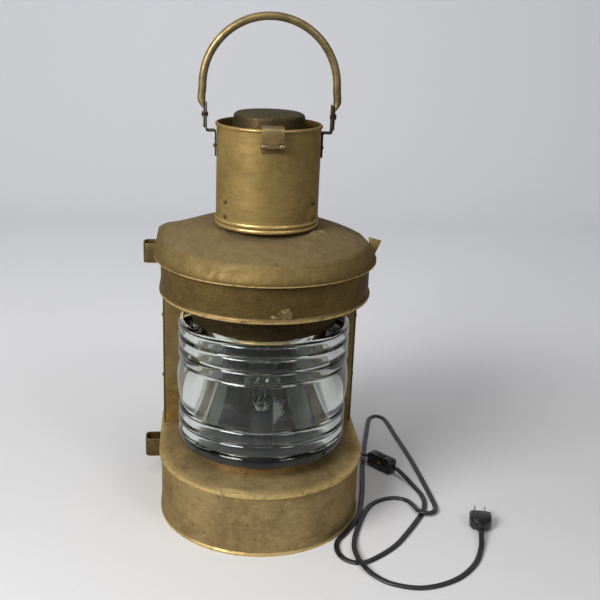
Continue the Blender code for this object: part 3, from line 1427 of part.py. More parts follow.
def lead(name, route, radius=CORD_RADIUS, sides=2):
    """A round lead along a smooth curve through its route, with a short straight run at each end."""
    curve = bpy.data.curves.new(name, "CURVE")
    curve.dimensions = "3D"
    curve.bevel_depth = radius
    curve.bevel_resolution = sides
    curve.use_fill_caps = True
    spline = curve.splines.new("POLY")
    first_stub = route[0] + (route[1] - route[0]).normalized() * 2 * radius
    last_stub = route[-1] + (route[-2] - route[-1]).normalized() * 2 * radius
    points = [route[0]] + thinned(smooth_curve([first_stub] + route[1:-1] + [last_stub])) + [route[-1]]
    spline.points.add(len(points) - 1)
    for target, point in zip(spline.points, points):
        target.co = (*point, 1)
    body = bpy.data.objects.new(name, curve)
    bpy.context.collection.objects.link(body)
    curve.materials.append(paint(*BLACK_VINYL))
    return body


def cord_bushing():
    """The tapered strain relief through the back wall of the base."""
    inside = -(SHEET + GAP)
    profile = [
        (0, BUSHING_LENGTH),
        (BUSHING_TIP_RADIUS, BUSHING_LENGTH),
        (BUSHING_ROOT_RADIUS, BUSHING_FLANGE_HEIGHT + GAP),
        (BUSHING_FLANGE, BUSHING_FLANGE_HEIGHT),
        (BUSHING_FLANGE, GAP),
        (BUSHING_NECK, GAP),
        (BUSHING_NECK, inside),
        (BUSHING_ROOT_RADIUS, inside - GAP),
        (BUSHING_ROOT_RADIUS, inside - BUSHING_FLANGE_HEIGHT),
        (0, inside - BUSHING_FLANGE_HEIGHT),
    ]
    place = along((0, 1, 0), (BUSHING_PLACE, BACK_REACH, BUSHING_LEVEL))
    return turned("cord_bushing", profile, BLACK_VINYL, steps=BULB_STEPS, place=place)


def inner_lead():
    """The end of the cord inside the base, from the bushing up to the lamp pipe."""
    start = Vector((BUSHING_PLACE, BACK_REACH - SHEET - 2 * GAP - BUSHING_FLANGE_HEIGHT, BUSHING_LEVEL))
    end = Vector((0, 0, LOWER_COLLAR_FOOT - PIPE_BELOW - GAP))
    route = [start, start - Vector((0, INNER_LEAD_STRAIGHT, 0))]
    route += [route[-1].lerp(end - Vector((0, 0, INNER_LEAD_STRAIGHT)), share) for share in INNER_LEAD_SHARES]
    route += [end - Vector((0, 0, INNER_LEAD_STRAIGHT)), end]
    return lead("inner_lead", route)


def switch_frame():
    """Where the inline switch stands: X along the cord, Y up, Z square to the broad faces, towards the front."""
    along_cord = Vector((math.cos(SWITCH_HEADING), math.sin(SWITCH_HEADING), 0))
    return axes(along_cord, (0, 0, 1), SWITCH_PLACE + Vector((0, 0, SWITCH_HEIGHT / 2)))


def switch_half(name, frame, side):
    """One moulded half of the inline switch, hollowed for the thumbwheel and drilled for the screw."""
    half = SWITCH_THICKNESS / 2
    rings = []
    for trim, depth in (
        (0, GAP / 2),
        (0, half - SWITCH_EDGE),
        (SWITCH_EDGE * SWITCH_EDGE_SHARE, half - SWITCH_EDGE * SWITCH_EDGE_SHARE),
        (SWITCH_EDGE, half),
    ):
        section = doorway_section(SWITCH_LENGTH - 2 * trim, SWITCH_HEIGHT - 2 * trim, SWITCH_CORNER - trim)
        rings.append([frame @ Vector((x, y, side * depth)) for x, y in section])
    body = lofted(name, rings, BLACK_VINYL)
    centre = frame @ Vector((WHEEL_ALONG, WHEEL_LIFT, 0))
    normal = (frame.to_3x3() @ Vector((0, 0, 1))).normalized()
    well = normal * (WHEEL_THICKNESS / 2 + WHEEL_PLAY)
    cut(body, pin_cutter(f"{name}_well", [(centre - well, centre + well)], WHEEL_RADIUS + WHEEL_PLAY, ROUND_STEPS))
    drill = normal * (half + OVERRUN) if side > 0 else -normal * SWITCH_SCREW_BITE
    pins = [(centre - well / 2 * side, centre + drill)]
    return cut(body, pin_cutter(f"{name}_drilling", pins, SWITCH_SCREW_RADIUS + GAP))


def switch_wheel(frame):
    """The toothed thumbwheel of the inline switch, round the screw."""
    centre = Vector((WHEEL_ALONG, WHEEL_LIFT, 0))
    half = WHEEL_THICKNESS / 2
    rings = []
    for radius, depth, toothed in (
        (WHEEL_BORE, -half, False),
        (WHEEL_RADIUS, -half, True),
        (WHEEL_RADIUS, half, True),
        (WHEEL_BORE, half, False),
    ):
        ring = []
        for step in range(2 * WHEEL_TEETH):
            angle = FULL_TURN * step / (2 * WHEEL_TEETH)
            reach = radius - (WHEEL_TOOTH if toothed and step % 2 else 0)
            place = centre + Vector((reach * math.cos(angle), reach * math.sin(angle), depth))
            ring.append(frame @ place)
        rings.append(ring)
    return lofted("switch_wheel", rings, BLACK_VINYL, closed=True, origin=frame @ centre)


def switch_screw(frame):
    """The screw through the middle of the inline switch."""
    half = SWITCH_THICKNESS / 2
    seat = frame @ Vector((WHEEL_ALONG, WHEEL_LIFT, half + GAP))
    outward = frame.to_3x3() @ Vector((0, 0, 1))
    tip = -(half + SWITCH_SCREW_BITE)
    profile = [
        (0, SWITCH_SCREW_HEAD_HEIGHT),
        (SWITCH_SCREW_HEAD / 2, SWITCH_SCREW_HEAD_HEIGHT),
        (SWITCH_SCREW_HEAD, 0),
        (SWITCH_SCREW_RADIUS, 0),
        (SWITCH_SCREW_RADIUS, tip),
        (0, tip),
    ]
    return turned("switch_screw", profile, BRASS, steps=2 * NUT_SIDES, place=along(outward, seat))


def plug_frame():
    """Where the plug lies: X across, Y up, Z from the cord to the blades."""
    heading = Vector((math.cos(PLUG_HEADING), math.sin(PLUG_HEADING), 0))
    return axes(Vector((0, 0, 1)).cross(heading), (0, 0, 1), PLUG_PLACE + Vector((0, 0, PLUG_LEVEL)))


def plug():
    """The moulded plug, from its cord end to its flat face, and its two blades."""
    frame = plug_frame()
    rings = []
    for run_share, width_share, height_share in PLUG_SHARES:
        width = PLUG_WIDTH * width_share
        height = PLUG_THICKNESS * height_share
        section = doorway_section(width, height, min(PLUG_CORNER, height / 2 - GAP))
        rings.append([frame @ Vector((x, y, PLUG_LENGTH * run_share)) for x, y in section])
    body = lofted("plug_body", rings, BLACK_VINYL)
    for number, side in enumerate((-1, 1), 1):
        start = PLUG_LENGTH - BLADE_SEAT
        end = PLUG_LENGTH + BLADE_LENGTH
        middle = side * BLADE_SPACING / 2
        slot = blade(f"blade_slot_{number}", frame, middle, start - GAP, end + OVERRUN, GAP, None)
        cut(body, hide_cutter(slot))
        blade(f"plug_blade_{number}", frame, middle, start, end, 0, STEEL)
    return body


def blade(name, frame, middle, start, end, margin, finish):
    """One flat blade of the plug, or with a margin the slot that it is moulded into."""
    across = BLADE_THICKNESS / 2 + margin
    tall = BLADE_WIDTH / 2 + margin
    rings = []
    for depth in (start, end):
        corners = ((-across, -tall), (across, -tall), (across, tall), (-across, tall))
        rings.append([frame @ Vector((middle + x, y, depth)) for x, y in corners])
    return lofted(name, rings, finish)


def cords():
    """The two free stretches of the cord, to the inline switch and on to the plug."""
    frame = switch_frame()
    end = SWITCH_LENGTH / 2 + GAP
    start = Vector((BUSHING_PLACE, BACK_REACH + BUSHING_LENGTH + GAP, BUSHING_LEVEL))
    lead("cord_to_switch", [start] + FIRST_ROUTE + [frame @ Vector((-end, 0, 0))])
    entry = PLUG_PLACE + Vector((0, 0, PLUG_LEVEL))
    heading = Vector((math.cos(PLUG_HEADING), math.sin(PLUG_HEADING), 0))
    lead("cord_to_plug", [frame @ Vector((end, 0, 0))] + SECOND_ROUTE + [entry - heading * GAP])


def clear_scene():
    """Start from nothing."""
    for found in list(bpy.data.objects):
        bpy.data.objects.remove(found)


def main():
    """Build every piece."""
    clear_scene()
    form = shoulder_form()
    holes = side_rivet_holes()
    base_shell()
    base_plate()
    base_shoulder()
    lower_lens_collar()
    drum_lens()
    upper_lens_collar()
    screen_plate(form, holes)
    rear_housing(form, holes)
    side_rivets()
    band_shell(roof_form())
    band_plate()
    roof()
    neck_tube()
    chimney_shell()
    chimney_brackets()
    bail_ears()
    bail()
    vent_cap()
    cap_strap()
    cap_hinge_leaf()
    hinge_pin("cap_hinge_pin", HINGE_WIDTH / 2 + GAP, along((1, 0, 0), (0, HINGE_PLACE, HINGE_LEVEL)))
    side_loops()
    rear_door()
    door_hinge_leaf()
    door_hinge_strap()
    hinge_pin(
        "door_hinge_pin",
        DOOR_HINGE_LENGTH / 2 + GAP,
        along((0, 0, 1), (DOOR_AXIS.x, DOOR_AXIS.y, DOORWAY_MIDDLE)),
    )
    door_knob()
    lamp_tray()
    lamp_pipe()
    bulb(lamp_socket())
    cord_bushing()
    inner_lead()
    frame = switch_frame()
    switch_half("switch_front", frame, 1)
    switch_half("switch_back", frame, -1)
    switch_wheel(frame)
    switch_screw(frame)
    plug()
    cords()


main()
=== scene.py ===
"""Ship's masthead signal lantern: its finishes, its fine metalwork and glass, its cord, and the studio.

Metres, +Z up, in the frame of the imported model. The lens faces -Y and the origin is the middle of the
base's underside.
"""

import logging
import math
from dataclasses import dataclass, field
from enum import Enum
from typing import Callable, Sequence

import bmesh
import bpy
from mathutils import Matrix, Vector, noise


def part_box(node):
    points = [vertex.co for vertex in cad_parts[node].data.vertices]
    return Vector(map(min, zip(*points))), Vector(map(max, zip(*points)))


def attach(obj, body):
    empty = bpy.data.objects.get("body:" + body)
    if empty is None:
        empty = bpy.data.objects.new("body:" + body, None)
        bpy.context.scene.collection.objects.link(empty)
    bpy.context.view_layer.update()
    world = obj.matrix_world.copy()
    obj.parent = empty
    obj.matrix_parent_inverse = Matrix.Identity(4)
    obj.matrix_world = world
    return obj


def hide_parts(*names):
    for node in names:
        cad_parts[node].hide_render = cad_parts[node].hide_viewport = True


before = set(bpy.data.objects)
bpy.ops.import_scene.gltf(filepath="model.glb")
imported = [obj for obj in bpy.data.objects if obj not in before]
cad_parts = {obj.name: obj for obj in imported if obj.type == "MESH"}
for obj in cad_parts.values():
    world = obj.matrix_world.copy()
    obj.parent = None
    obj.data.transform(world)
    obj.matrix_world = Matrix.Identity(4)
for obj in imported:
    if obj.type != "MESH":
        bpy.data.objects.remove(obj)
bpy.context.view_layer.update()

log = logging.getLogger("lantern")

MILLIMETRE = 0.001
SHEET = 1.2 * MILLIMETRE
MERGE = 0.01 * MILLIMETRE
HALF_TURN = math.pi
QUARTER_TURN = math.pi / 2
FULL_TURN = 2 * math.pi
SMOOTH_ANGLE = math.radians(40)


class Body(Enum):
    """The bodies that pieces ride on."""

    ROOT = "root"
    BAIL = "bail"
    CAP = "vent_cap"
    DOOR = "rear_door"
    WHEEL = "switch_wheel"


class Slot(Enum):
    """The record's material slots."""

    BRONZE = "bronze_paint"
    DARK = "dark_bronze"
    WHITE = "white_enamel"
    BLACK = "black_paint"
    LENS = "lens_glass"
    BULB = "bulb_glass"
    BRASS = "brass"
    PHENOLIC = "phenolic"
    STEEL = "steel"
    VINYL = "vinyl"


def linear(colour: str) -> tuple[float, float, float, float]:
    """Turn an sRGB hex colour into Blender's linear one.

    Args:
        colour: Six hex digits after a hash sign.

    Returns:
        Red, green, blue and a full alpha.
    """
    channels = []
    for start in (1, 3, 5):
        value = int(colour[start : start + 2], 16) / 255
        channels.append(value / 12.92 if value <= 0.04045 else ((value + 0.055) / 1.055) ** 2.4)
    return (*channels, 1.0)


def add_node(tree: bpy.types.NodeTree, kind: str, settings: dict | None = None, **inputs: object) -> bpy.types.Node:
    """Add a node, with its settings, and its sockets set or linked by name.

    Args:
        tree: The node tree.
        kind: The node's type.
        settings: Attributes of the node.
        inputs: A socket's name, with underscores for spaces, and its value or the output that feeds it.

    Returns:
        The new node.
    """
    made = tree.nodes.new(kind)
    for key, value in (settings or {}).items():
        setattr(made, key, value)
    for key, value in inputs.items():
        name = key.replace("_", " ")
        socket = made.inputs[int(name[1:])] if name[0] == "n" and name[1:].isdigit() else made.inputs[name]
        if isinstance(value, bpy.types.NodeSocket):
            tree.links.new(value, socket)
        else:
            socket.default_value = value
    return made


class Finish:
    """A surface finish, built once as a material."""

    name: str
    slot: Slot

    def material(self) -> bpy.types.Material:
        """Give the finish's material, building it when it is first asked for."""
        found = bpy.data.materials.get(self.name)
        if found:
            return found
        made = bpy.data.materials.new(self.name)
        made.use_nodes = True
        tree = made.node_tree
        tree.nodes.clear()
        shader = add_node(tree, "ShaderNodeBsdfPrincipled")
        output = add_node(tree, "ShaderNodeOutputMaterial")
        tree.links.new(shader.outputs["BSDF"], output.inputs["Surface"])
        self.wire(tree, shader)
        return made

    def wire(self, tree: bpy.types.NodeTree, shader: bpy.types.Node) -> None:
        """Set and link the shader's sockets."""
        raise NotImplementedError


def place_of(tree: bpy.types.NodeTree) -> bpy.types.NodeSocket:
    """Give the point's place on the piece, in metres."""
    return add_node(tree, "ShaderNodeTexCoord").outputs["Object"]


def grain(
    tree: bpy.types.NodeTree,
    place: bpy.types.NodeSocket,
    size_mm: float,
    detail: float = 4,
    stretch: tuple[float, float, float] = (1, 1, 1),
    shift: float = 0,
    rough: float = 0.55,
) -> bpy.types.NodeSocket:
    """Noise whose blobs are about a real size.

    Args:
        tree: The node tree.
        place: The coordinates.
        size_mm: The size of a blob in millimetres.
        detail: Octaves of finer noise.
        stretch: How the coordinates are scaled first; under 1 draws the blobs out.
        shift: Moves the pattern, so that two layers differ.
        rough: How strong the finer octaves are.

    Returns:
        The noise value, about 0.3 to 0.7.
    """
    mapped = add_node(tree, "ShaderNodeMapping", Vector=place, Scale=stretch, Location=(shift, shift / 2, -shift))
    made = add_node(
        tree,
        "ShaderNodeTexNoise",
        Vector=mapped.outputs["Vector"],
        Scale=1 / (size_mm * MILLIMETRE),
        Detail=detail,
        Roughness=rough,
    )
    return made.outputs["Fac"]


def ramp(
    tree: bpy.types.NodeTree,
    value: bpy.types.NodeSocket,
    low: float,
    high: float,
    start: float = 0,
    end: float = 1,
) -> bpy.types.NodeSocket:
    """Stretch a range of a value to another, clamped."""
    made = add_node(tree, "ShaderNodeMapRange", {"interpolation_type": "SMOOTHSTEP"}, Value=value)
    for socket, number in zip(("From Min", "From Max", "To Min", "To Max"), (low, high, start, end)):
        made.inputs[socket].default_value = number
    return made.outputs["Result"]


def sum_of(
    tree: bpy.types.NodeTree, operation: str, first: object, second: object
) -> bpy.types.NodeSocket:
    """Join two values by a Math operation."""
    return add_node(tree, "ShaderNodeMath", {"operation": operation}, n0=first, n1=second).outputs["Value"]


def tinted(
    tree: bpy.types.NodeTree, share: bpy.types.NodeSocket, first: object, second: object
) -> bpy.types.NodeSocket:
    """Mix two colours by a share; each is an output or a hex colour."""
    made = tree.nodes.new("ShaderNodeMix")
    made.data_type = "RGBA"
    tree.links.new(share, made.inputs["Factor"])
    for socket, colour in ((made.inputs[6], first), (made.inputs[7], second)):
        if isinstance(colour, str):
            socket.default_value = linear(colour)
        else:
            tree.links.new(colour, socket)
    return made.outputs[2]


@dataclass(frozen=True)
class WornLine:
    """A level at which paint is rubbed through to brass."""

    level: float
    reach: float


@dataclass(frozen=True)
class BronzePaint(Finish):
    """Aged bronze-powder paint over sheet brass.

    Bronze powder in varnish gives a soft, wide sheen instead of a mirror. With age it darkens in faint olive and
    brown clouds, keeps fine brush streaks, and rubs through along seams and beads. What faces up takes a laid-on
    colour: real dust on most pieces, painted shade on the tops of the bail and the cap.
    """

    name: str = "bronze powder paint"
    slot: Slot = Slot.BRONZE
    light: str = "#8F7A4C"
    body: str = "#7D683D"
    shade: str = "#5D4B2C"
    scuff: str = "#2A2118"
    # Colour laid on what faces up: dust on most finishes, painted shade on the bail's and the cap's.
    dust_and_shade: str = "#7B7260"
    worn: str = "#C7AC72"
    edge: str = "#8F8060"
    roughness: float = 0.42
    metallic: float = 0.70
    cloud_mm: float = 60
    stain_mm: float = 10
    flake_mm: float = 0.9
    dent_mm: float = 38
    dent_depth_mm: float = 0.7
    dust_and_shade_share: float = 0.25
    marks: float = 0.6
    brushed: tuple[float, float, float] = (0.12, 0.12, 1)
    lines: tuple[WornLine, ...] = ()

    def wire(self, tree: bpy.types.NodeTree, shader: bpy.types.Node) -> None:
        """Layer clouds, stains, brush streaks, flakes and wear, and the colour laid on what faces up: dust, and painted
        shade on the bail and the cap.
        """
        place = place_of(tree)
        clouds = ramp(tree, grain(tree, place, self.cloud_mm, 5), 0.34, 0.66, 0.35, 1)
        stains = grain(tree, place, self.stain_mm, 6, shift=3.1, rough=0.62)
        flakes = grain(tree, place, self.flake_mm, 3, shift=7.7, rough=0.7)
        strokes = grain(tree, place, self.stain_mm * 0.24, 4, self.brushed, shift=1.7)
        colour = tinted(tree, clouds, self.shade, self.body)
        colour = tinted(tree, ramp(tree, stains, 0.44, 0.72, 0, 0.55), colour, self.light)
        colour = tinted(tree, ramp(tree, strokes, 0.48, 0.70, 0, 0.42), colour, self.shade)
        colour = tinted(tree, ramp(tree, flakes, 0.50, 0.78, 0, 0.30), colour, self.worn)
        spots = ramp(tree, grain(tree, place, self.stain_mm * 0.5, 5, shift=11.3, rough=0.5), 0.66, 0.71, 0, self.marks)
        colour = tinted(tree, spots, colour, self.scuff)
        normal = add_node(tree, "ShaderNodeNewGeometry").outputs["Normal"]
        upward = add_node(tree, "ShaderNodeSeparateXYZ", Vector=normal).outputs["Z"]
        # What faces up takes the laid-on colour and grows rougher and less metallic: dust on most pieces, painted shade
        # on the bail and the cap.
        settled = ramp(tree, upward, 0.35, 1.0, 0, self.dust_and_shade_share)
        dust_and_shade_patches = sum_of(tree, "MULTIPLY", settled, ramp(tree, stains, 0.30, 0.62, 0.65, 1))
        colour = tinted(tree, dust_and_shade_patches, colour, self.dust_and_shade)
        roughness = sum_of(tree, "ADD", ramp(tree, stains, 0.3, 0.7, 0.08, -0.05), self.roughness)
        roughness = sum_of(tree, "ADD", roughness, sum_of(tree, "MULTIPLY", dust_and_shade_patches, 0.5))
        metallic = sum_of(tree, "SUBTRACT", self.metallic, sum_of(tree, "MULTIPLY", dust_and_shade_patches, 0.7))
        height = add_node(tree, "ShaderNodeSeparateXYZ", Vector=place).outputs["Z"]
        chips = ramp(tree, grain(tree, place, 5.0, 5, shift=5.9, rough=0.65), 0.36, 0.52, 0.25, 1)
        for line in self.lines:
            away = sum_of(tree, "ABSOLUTE", sum_of(tree, "SUBTRACT", height, line.level), 0.0)
            near = ramp(tree, away, line.reach * 0.35, line.reach, 1, 0)
            rubbed = sum_of(tree, "MULTIPLY", near, chips)
            colour = tinted(tree, rubbed, colour, self.worn)
            roughness = sum_of(tree, "SUBTRACT", roughness, sum_of(tree, "MULTIPLY", rubbed, 0.10))
        tree.links.new(colour, shader.inputs["Base Color"])
        tree.links.new(roughness, shader.inputs["Roughness"])
        tree.links.new(metallic, shader.inputs["Metallic"])
        dents = add_node(
            tree,
            "ShaderNodeBump",
            Height=grain(tree, place, self.dent_mm, 2, shift=2.3),
            Distance=self.dent_depth_mm * MILLIMETRE,
            Strength=0.8,
        )
        skin = add_node(
            tree,
            "ShaderNodeBump",
            Height=sum_of(tree, "ADD", sum_of(tree, "MULTIPLY", flakes, 0.5), sum_of(tree, "ADD", stains, strokes)),
            Distance=0.07 * MILLIMETRE,
            Strength=0.6,
            Normal=dents.outputs["Normal"],
        )
        tree.links.new(skin.outputs["Normal"], shader.inputs["Normal"])
        shader.inputs["Specular Tint"].default_value = linear(self.edge)


@dataclass(frozen=True)
class LinedPaint(BronzePaint):
    """Bronze paint outside and a second, plain colour inside a field of the piece.

    The screen is sprayed white where the lens stands before it. The housing and its door are black inside: painted
    shade of the closed compartment behind the lens.
    """

    # Near black by default: painted shade inside the housing and the door. The screen sets it to white paint.
    coat_and_shade: str = "#0D0C0B"
    coat_and_shade_grime: str = "#1C1916"
    coat_and_shade_roughness: float = 0.6
    half_width: float = 0.1239
    depth: float = 0.1114

    def wire(self, tree: bpy.types.NodeTree, shader: bpy.types.Node) -> None:
        """Lay the plain colour over the bronze, inside the field."""
        super().wire(tree, shader)
        place = place_of(tree)
        axes = add_node(tree, "ShaderNodeSeparateXYZ", Vector=place)
        aside = sum_of(tree, "ABSOLUTE", axes.outputs["X"], 0.0)
        edge = 0.2 * MILLIMETRE
        within = ramp(tree, aside, self.half_width - edge, self.half_width + edge, 1, 0)
        before = ramp(tree, axes.outputs["Y"], self.depth - edge, self.depth + edge, 1, 0)
        field_share = sum_of(tree, "MULTIPLY", within, before)
        grime = ramp(tree, grain(tree, place, 26, 6, (1, 1, 0.5)), 0.42, 0.72, 0, 0.6)
        # The plain colour with faint grime: white paint on the screen, painted shade inside the housing and the door.
        coat_and_shade = tinted(tree, grime, self.coat_and_shade, self.coat_and_shade_grime)
        bronze = shader.inputs["Base Color"].links[0].from_socket
        tree.links.new(tinted(tree, field_share, bronze, coat_and_shade), shader.inputs["Base Color"])
        for name, plain in (("Roughness", self.coat_and_shade_roughness), ("Metallic", 0.0)):
            found = shader.inputs[name].links[0].from_socket
            change = sum_of(tree, "MULTIPLY", field_share, sum_of(tree, "SUBTRACT", plain, found))
            tree.links.new(sum_of(tree, "ADD", found, change), shader.inputs[name])


@dataclass(frozen=True)
class SprayedCoat(Finish):
    """Plain brushed-on or sprayed paint, as on the screen and the tray: even, with dust and faint runs."""

    name: str
    slot: Slot
    colour: str
    grime: str
    roughness: float = 0.5

    def wire(self, tree: bpy.types.NodeTree, shader: bpy.types.Node) -> None:
        """Even paint with soft grime and a light orange-peel."""
        place = place_of(tree)
        grime = ramp(tree, grain(tree, place, 22, 6, (1, 1, 0.4)), 0.42, 0.72, 0, 0.55)
        tree.links.new(tinted(tree, grime, self.colour, self.grime), shader.inputs["Base Color"])
        tree.links.new(ramp(tree, grime, 0, 0.55, self.roughness, self.roughness + 0.2), shader.inputs["Roughness"])
        peel = add_node(
            tree, "ShaderNodeBump", Height=grain(tree, place, 1.5, 2), Distance=0.03 * MILLIMETRE, Strength=0.5
        )
        tree.links.new(peel.outputs["Normal"], shader.inputs["Normal"])


@dataclass(frozen=True)
class PressedGlass(Finish):
    """Thick pressed soda glass: faintly green, with slow waves from the mould and a smear of dust."""

    name: str = "pressed soda glass"
    slot: Slot = Slot.LENS
    colour: str = "#E4EBE6"
    wave_mm: float = 24
    wave_depth_mm: float = 0.10
    smear: float = 0.05

    def wire(self, tree: bpy.types.NodeTree, shader: bpy.types.Node) -> None:
        """Clear glass with mould waves and a faint smear."""
        place = place_of(tree)
        shader.inputs["Base Color"].default_value = linear(self.colour)
        shader.inputs["Transmission Weight"].default_value = 1
        shader.inputs["IOR"].default_value = 1.52
        smear = ramp(tree, grain(tree, place, 12, 5, (1, 1, 0.35)), 0.48, 0.75, 0.0, self.smear)
        tree.links.new(smear, shader.inputs["Roughness"])
        waves = add_node(
            tree,
            "ShaderNodeBump",
            Height=grain(tree, place, self.wave_mm, 2),
            Distance=self.wave_depth_mm * MILLIMETRE,
            Strength=0.6,
        )
        tree.links.new(waves.outputs["Normal"], shader.inputs["Normal"])


@dataclass(frozen=True)
class TurnedMetal(Finish):
    """Bare turned or plated metal: fine tool marks and a little tarnish."""

    name: str
    slot: Slot
    colour: str
    tarnish: str
    roughness: float = 0.28

    def wire(self, tree: bpy.types.NodeTree, shader: bpy.types.Node) -> None:
        """Bare metal with tarnish clouds and turning marks."""
        place = place_of(tree)
        clouds = ramp(tree, grain(tree, place, 5, 5), 0.4, 0.68, 0, 0.8)
        tree.links.new(tinted(tree, clouds, self.colour, self.tarnish), shader.inputs["Base Color"])
        shader.inputs["Metallic"].default_value = 1
        tree.links.new(ramp(tree, clouds, 0, 0.8, self.roughness, self.roughness + 0.2), shader.inputs["Roughness"])
        marks = add_node(
            tree,
            "ShaderNodeBump",
            Height=grain(tree, place, 0.7, 2, (1, 1, 4)),
            Distance=0.02 * MILLIMETRE,
            Strength=0.4,
        )
        tree.links.new(marks.outputs["Normal"], shader.inputs["Normal"])


@dataclass(frozen=True)
class Vinyl(Finish):
    """Soft PVC or moulded phenolic: black with a satin skin, dulled by dust and handling."""

    name: str = "black lamp-cord vinyl"
    slot: Slot = Slot.VINYL
    colour: str = "#111112"
    dull: str = "#1E1D1C"
    roughness: float = 0.30
    pores_mm: float = 0.8

    def wire(self, tree: bpy.types.NodeTree, shader: bpy.types.Node) -> None:
        """Satin black with dull handling marks."""
        place = place_of(tree)
        handled = ramp(tree, grain(tree, place, 11, 5), 0.42, 0.66)
        tree.links.new(tinted(tree, handled, self.colour, self.dull), shader.inputs["Base Color"])
        tree.links.new(ramp(tree, handled, 0, 1, self.roughness, self.roughness + 0.16), shader.inputs["Roughness"])
        pores = add_node(
            tree,
            "ShaderNodeBump",
            Height=grain(tree, place, self.pores_mm, 3),
            Distance=0.03 * MILLIMETRE,
            Strength=0.5,
        )
        tree.links.new(pores.outputs["Normal"], shader.inputs["Normal"])


BODY_PAINT = BronzePaint()
# Lighter than the body paint all over: partly the base's own bronze, partly painted sheen standing in for the broad
# sheen across its front.
BASE_PAINT = BronzePaint(
    name="bronze paint of the base with painted sheen",
    light="#AC966A",
    body="#98825A",
    shade="#6C5A3A",
    marks=0.75,
    dust_and_shade_share=0.08,
    lines=(WornLine(0.0790, 0.0042), WornLine(0.0010, 0.0022)),
)
# Darker than the body paint: painted shade under the roof's overhang. The worn line at the bead is real wear.
SHADED_BAND_PAINT = BronzePaint(
    name="bronze paint of the band, painted shade",
    light="#7B683F",
    body="#685530",
    shade="#4C3D24",
    lines=(WornLine(0.2905, 0.0030),),
)
SOLDER = BronzePaint(
    name="painted solder",
    light="#A8966A",
    body="#8A7850",
    shade="#3E3323",
    cloud_mm=5,
    stain_mm=3,
    dent_mm=4,
    roughness=0.36,
)
ROOF_PAINT = BronzePaint(
    name="bronze paint of the roof",
    body="#6C5B37",
    light="#7D6B44",
    dust_and_shade="#6B6250",
    roughness=0.62,
    dent_depth_mm=1.6,
    dust_and_shade_share=0.40,
    lines=(WornLine(0.3325, 0.0011),),
)
CHIMNEY_PAINT = BronzePaint(
    name="bronze paint of the chimney",
    light="#AE975F",
    body="#9C8450",
    shade="#75603A",
    roughness=0.40,
    lines=(WornLine(0.3738, 0.0020), WornLine(0.3794, 0.0018)),
    dust_and_shade_share=0.15,
    marks=0.3,
)
# Darkened all over and near black on what faces up: painted shade for the dark reflection on the cap's top.
SHADED_CAP_PAINT = BronzePaint(
    name="bronze paint of the cap, painted shade",
    light="#4E422C",
    body="#3E3423",
    shade="#2A2318",
    dust_and_shade="#37352B",
    dust_and_shade_share=0.75,
    roughness=0.52,
)
LOOP_PAINT = BronzePaint(name="bronze paint of the loops", light="#6E5D3B", body="#5E4F31", shade="#463A25")
# The near-black colour laid at 0.9 on what faces up is painted shade on the bail's top. The raised pale tones are
# partly painted highlight, standing in for the lit left side of the bail.
BAIL_PAINT = BronzePaint(
    name="bronze paint of the bail, painted light and shade",
    light="#A39069",
    body="#7E6D4B",
    shade="#463A29",
    cloud_mm=38,
    dust_and_shade="#3A3226",
    dust_and_shade_share=0.9,
)
STRAP_PAINT = BronzePaint(
    name="bronze paint of the strap", slot=Slot.DARK, light="#97835E", body="#836F4B", shade="#56472E"
)
EAR_PAINT = BronzePaint(
    name="blackened bronze paint",
    slot=Slot.DARK,
    light="#4A3F2B",
    body="#33291C",
    shade="#1D1812",
    worn="#7A6842",
    roughness=0.5,
    metallic=0.5,
)
DARK_PAINT = BronzePaint(
    name="darkened bronze paint",
    slot=Slot.DARK,
    light="#6F5E3E",
    body="#54452B",
    shade="#332A1C",
    worn="#9A8352",
    roughness=0.46,
    metallic=0.6,
)
# Darkened: painted shade under the band.
SHADED_COLLAR_PAINT = BronzePaint(
    name="bronze paint of the lens head collar, painted shade", slot=Slot.DARK, light="#54462D", body="#3F3421", shade="#2A2217"
)
# Black inside the housing and the door: painted shade of the closed compartment.
HOUSING_PAINT = LinedPaint(name="bronze paint, painted shade inside", body="#75633C")
DOOR_PAINT = LinedPaint(name="bronze paint of the door, painted shade inside", depth=0.1150)
SCREEN_PAINT = LinedPaint(
    name="white reflector paint on bronze",
    slot=Slot.WHITE,
    body="#7B6A46",
    coat_and_shade="#B4B3AF",
    coat_and_shade_grime="#8E8A80",
    coat_and_shade_roughness=0.45,
    half_width=0.0890,
    depth=0.0780,
)
TRAY_PAINT = SprayedCoat("black tray paint", Slot.BLACK, "#0E0E0F", "#1A1918", 0.32)
SOCKET_MOULDING = Vinyl(name="black socket phenolic", slot=Slot.PHENOLIC, colour="#0F0D0C", dull="#191512")
LENS_GLASS = PressedGlass()
BULB_GLASS = PressedGlass(
    name="thin lamp glass", slot=Slot.BULB, colour="#FAFAF8", wave_depth_mm=0.02, smear=0.02
)
BRASS = TurnedMetal("turned brass", Slot.BRASS, "#B9975A", "#6B5430", 0.3)
NICKEL = TurnedMetal("nickel plate", Slot.STEEL, "#C4C2BC", "#8A867C", 0.24)
VINYL = Vinyl()


def free_selection() -> None:
    """Leave edit mode and deselect everything."""
    if bpy.context.object and bpy.context.object.mode != "OBJECT":
        bpy.ops.object.mode_set(mode="OBJECT")
    bpy.ops.object.select_all(action="DESELECT")


def take(piece: bpy.types.Object) -> None:
    """Make a piece the only selected and active one."""
    free_selection()
    piece.select_set(True)
    bpy.context.view_layer.objects.active = piece


def finish_mesh(piece: bpy.types.Object, merge: float = MERGE) -> None:
    """Merge doubles and point the faces outwards."""
    take(piece)
    bpy.ops.object.mode_set(mode="EDIT")
    bpy.ops.mesh.select_all(action="SELECT")
    bpy.ops.mesh.remove_doubles(threshold=merge)
    bpy.ops.mesh.normals_make_consistent(inside=False)
    bpy.ops.object.mode_set(mode="OBJECT")


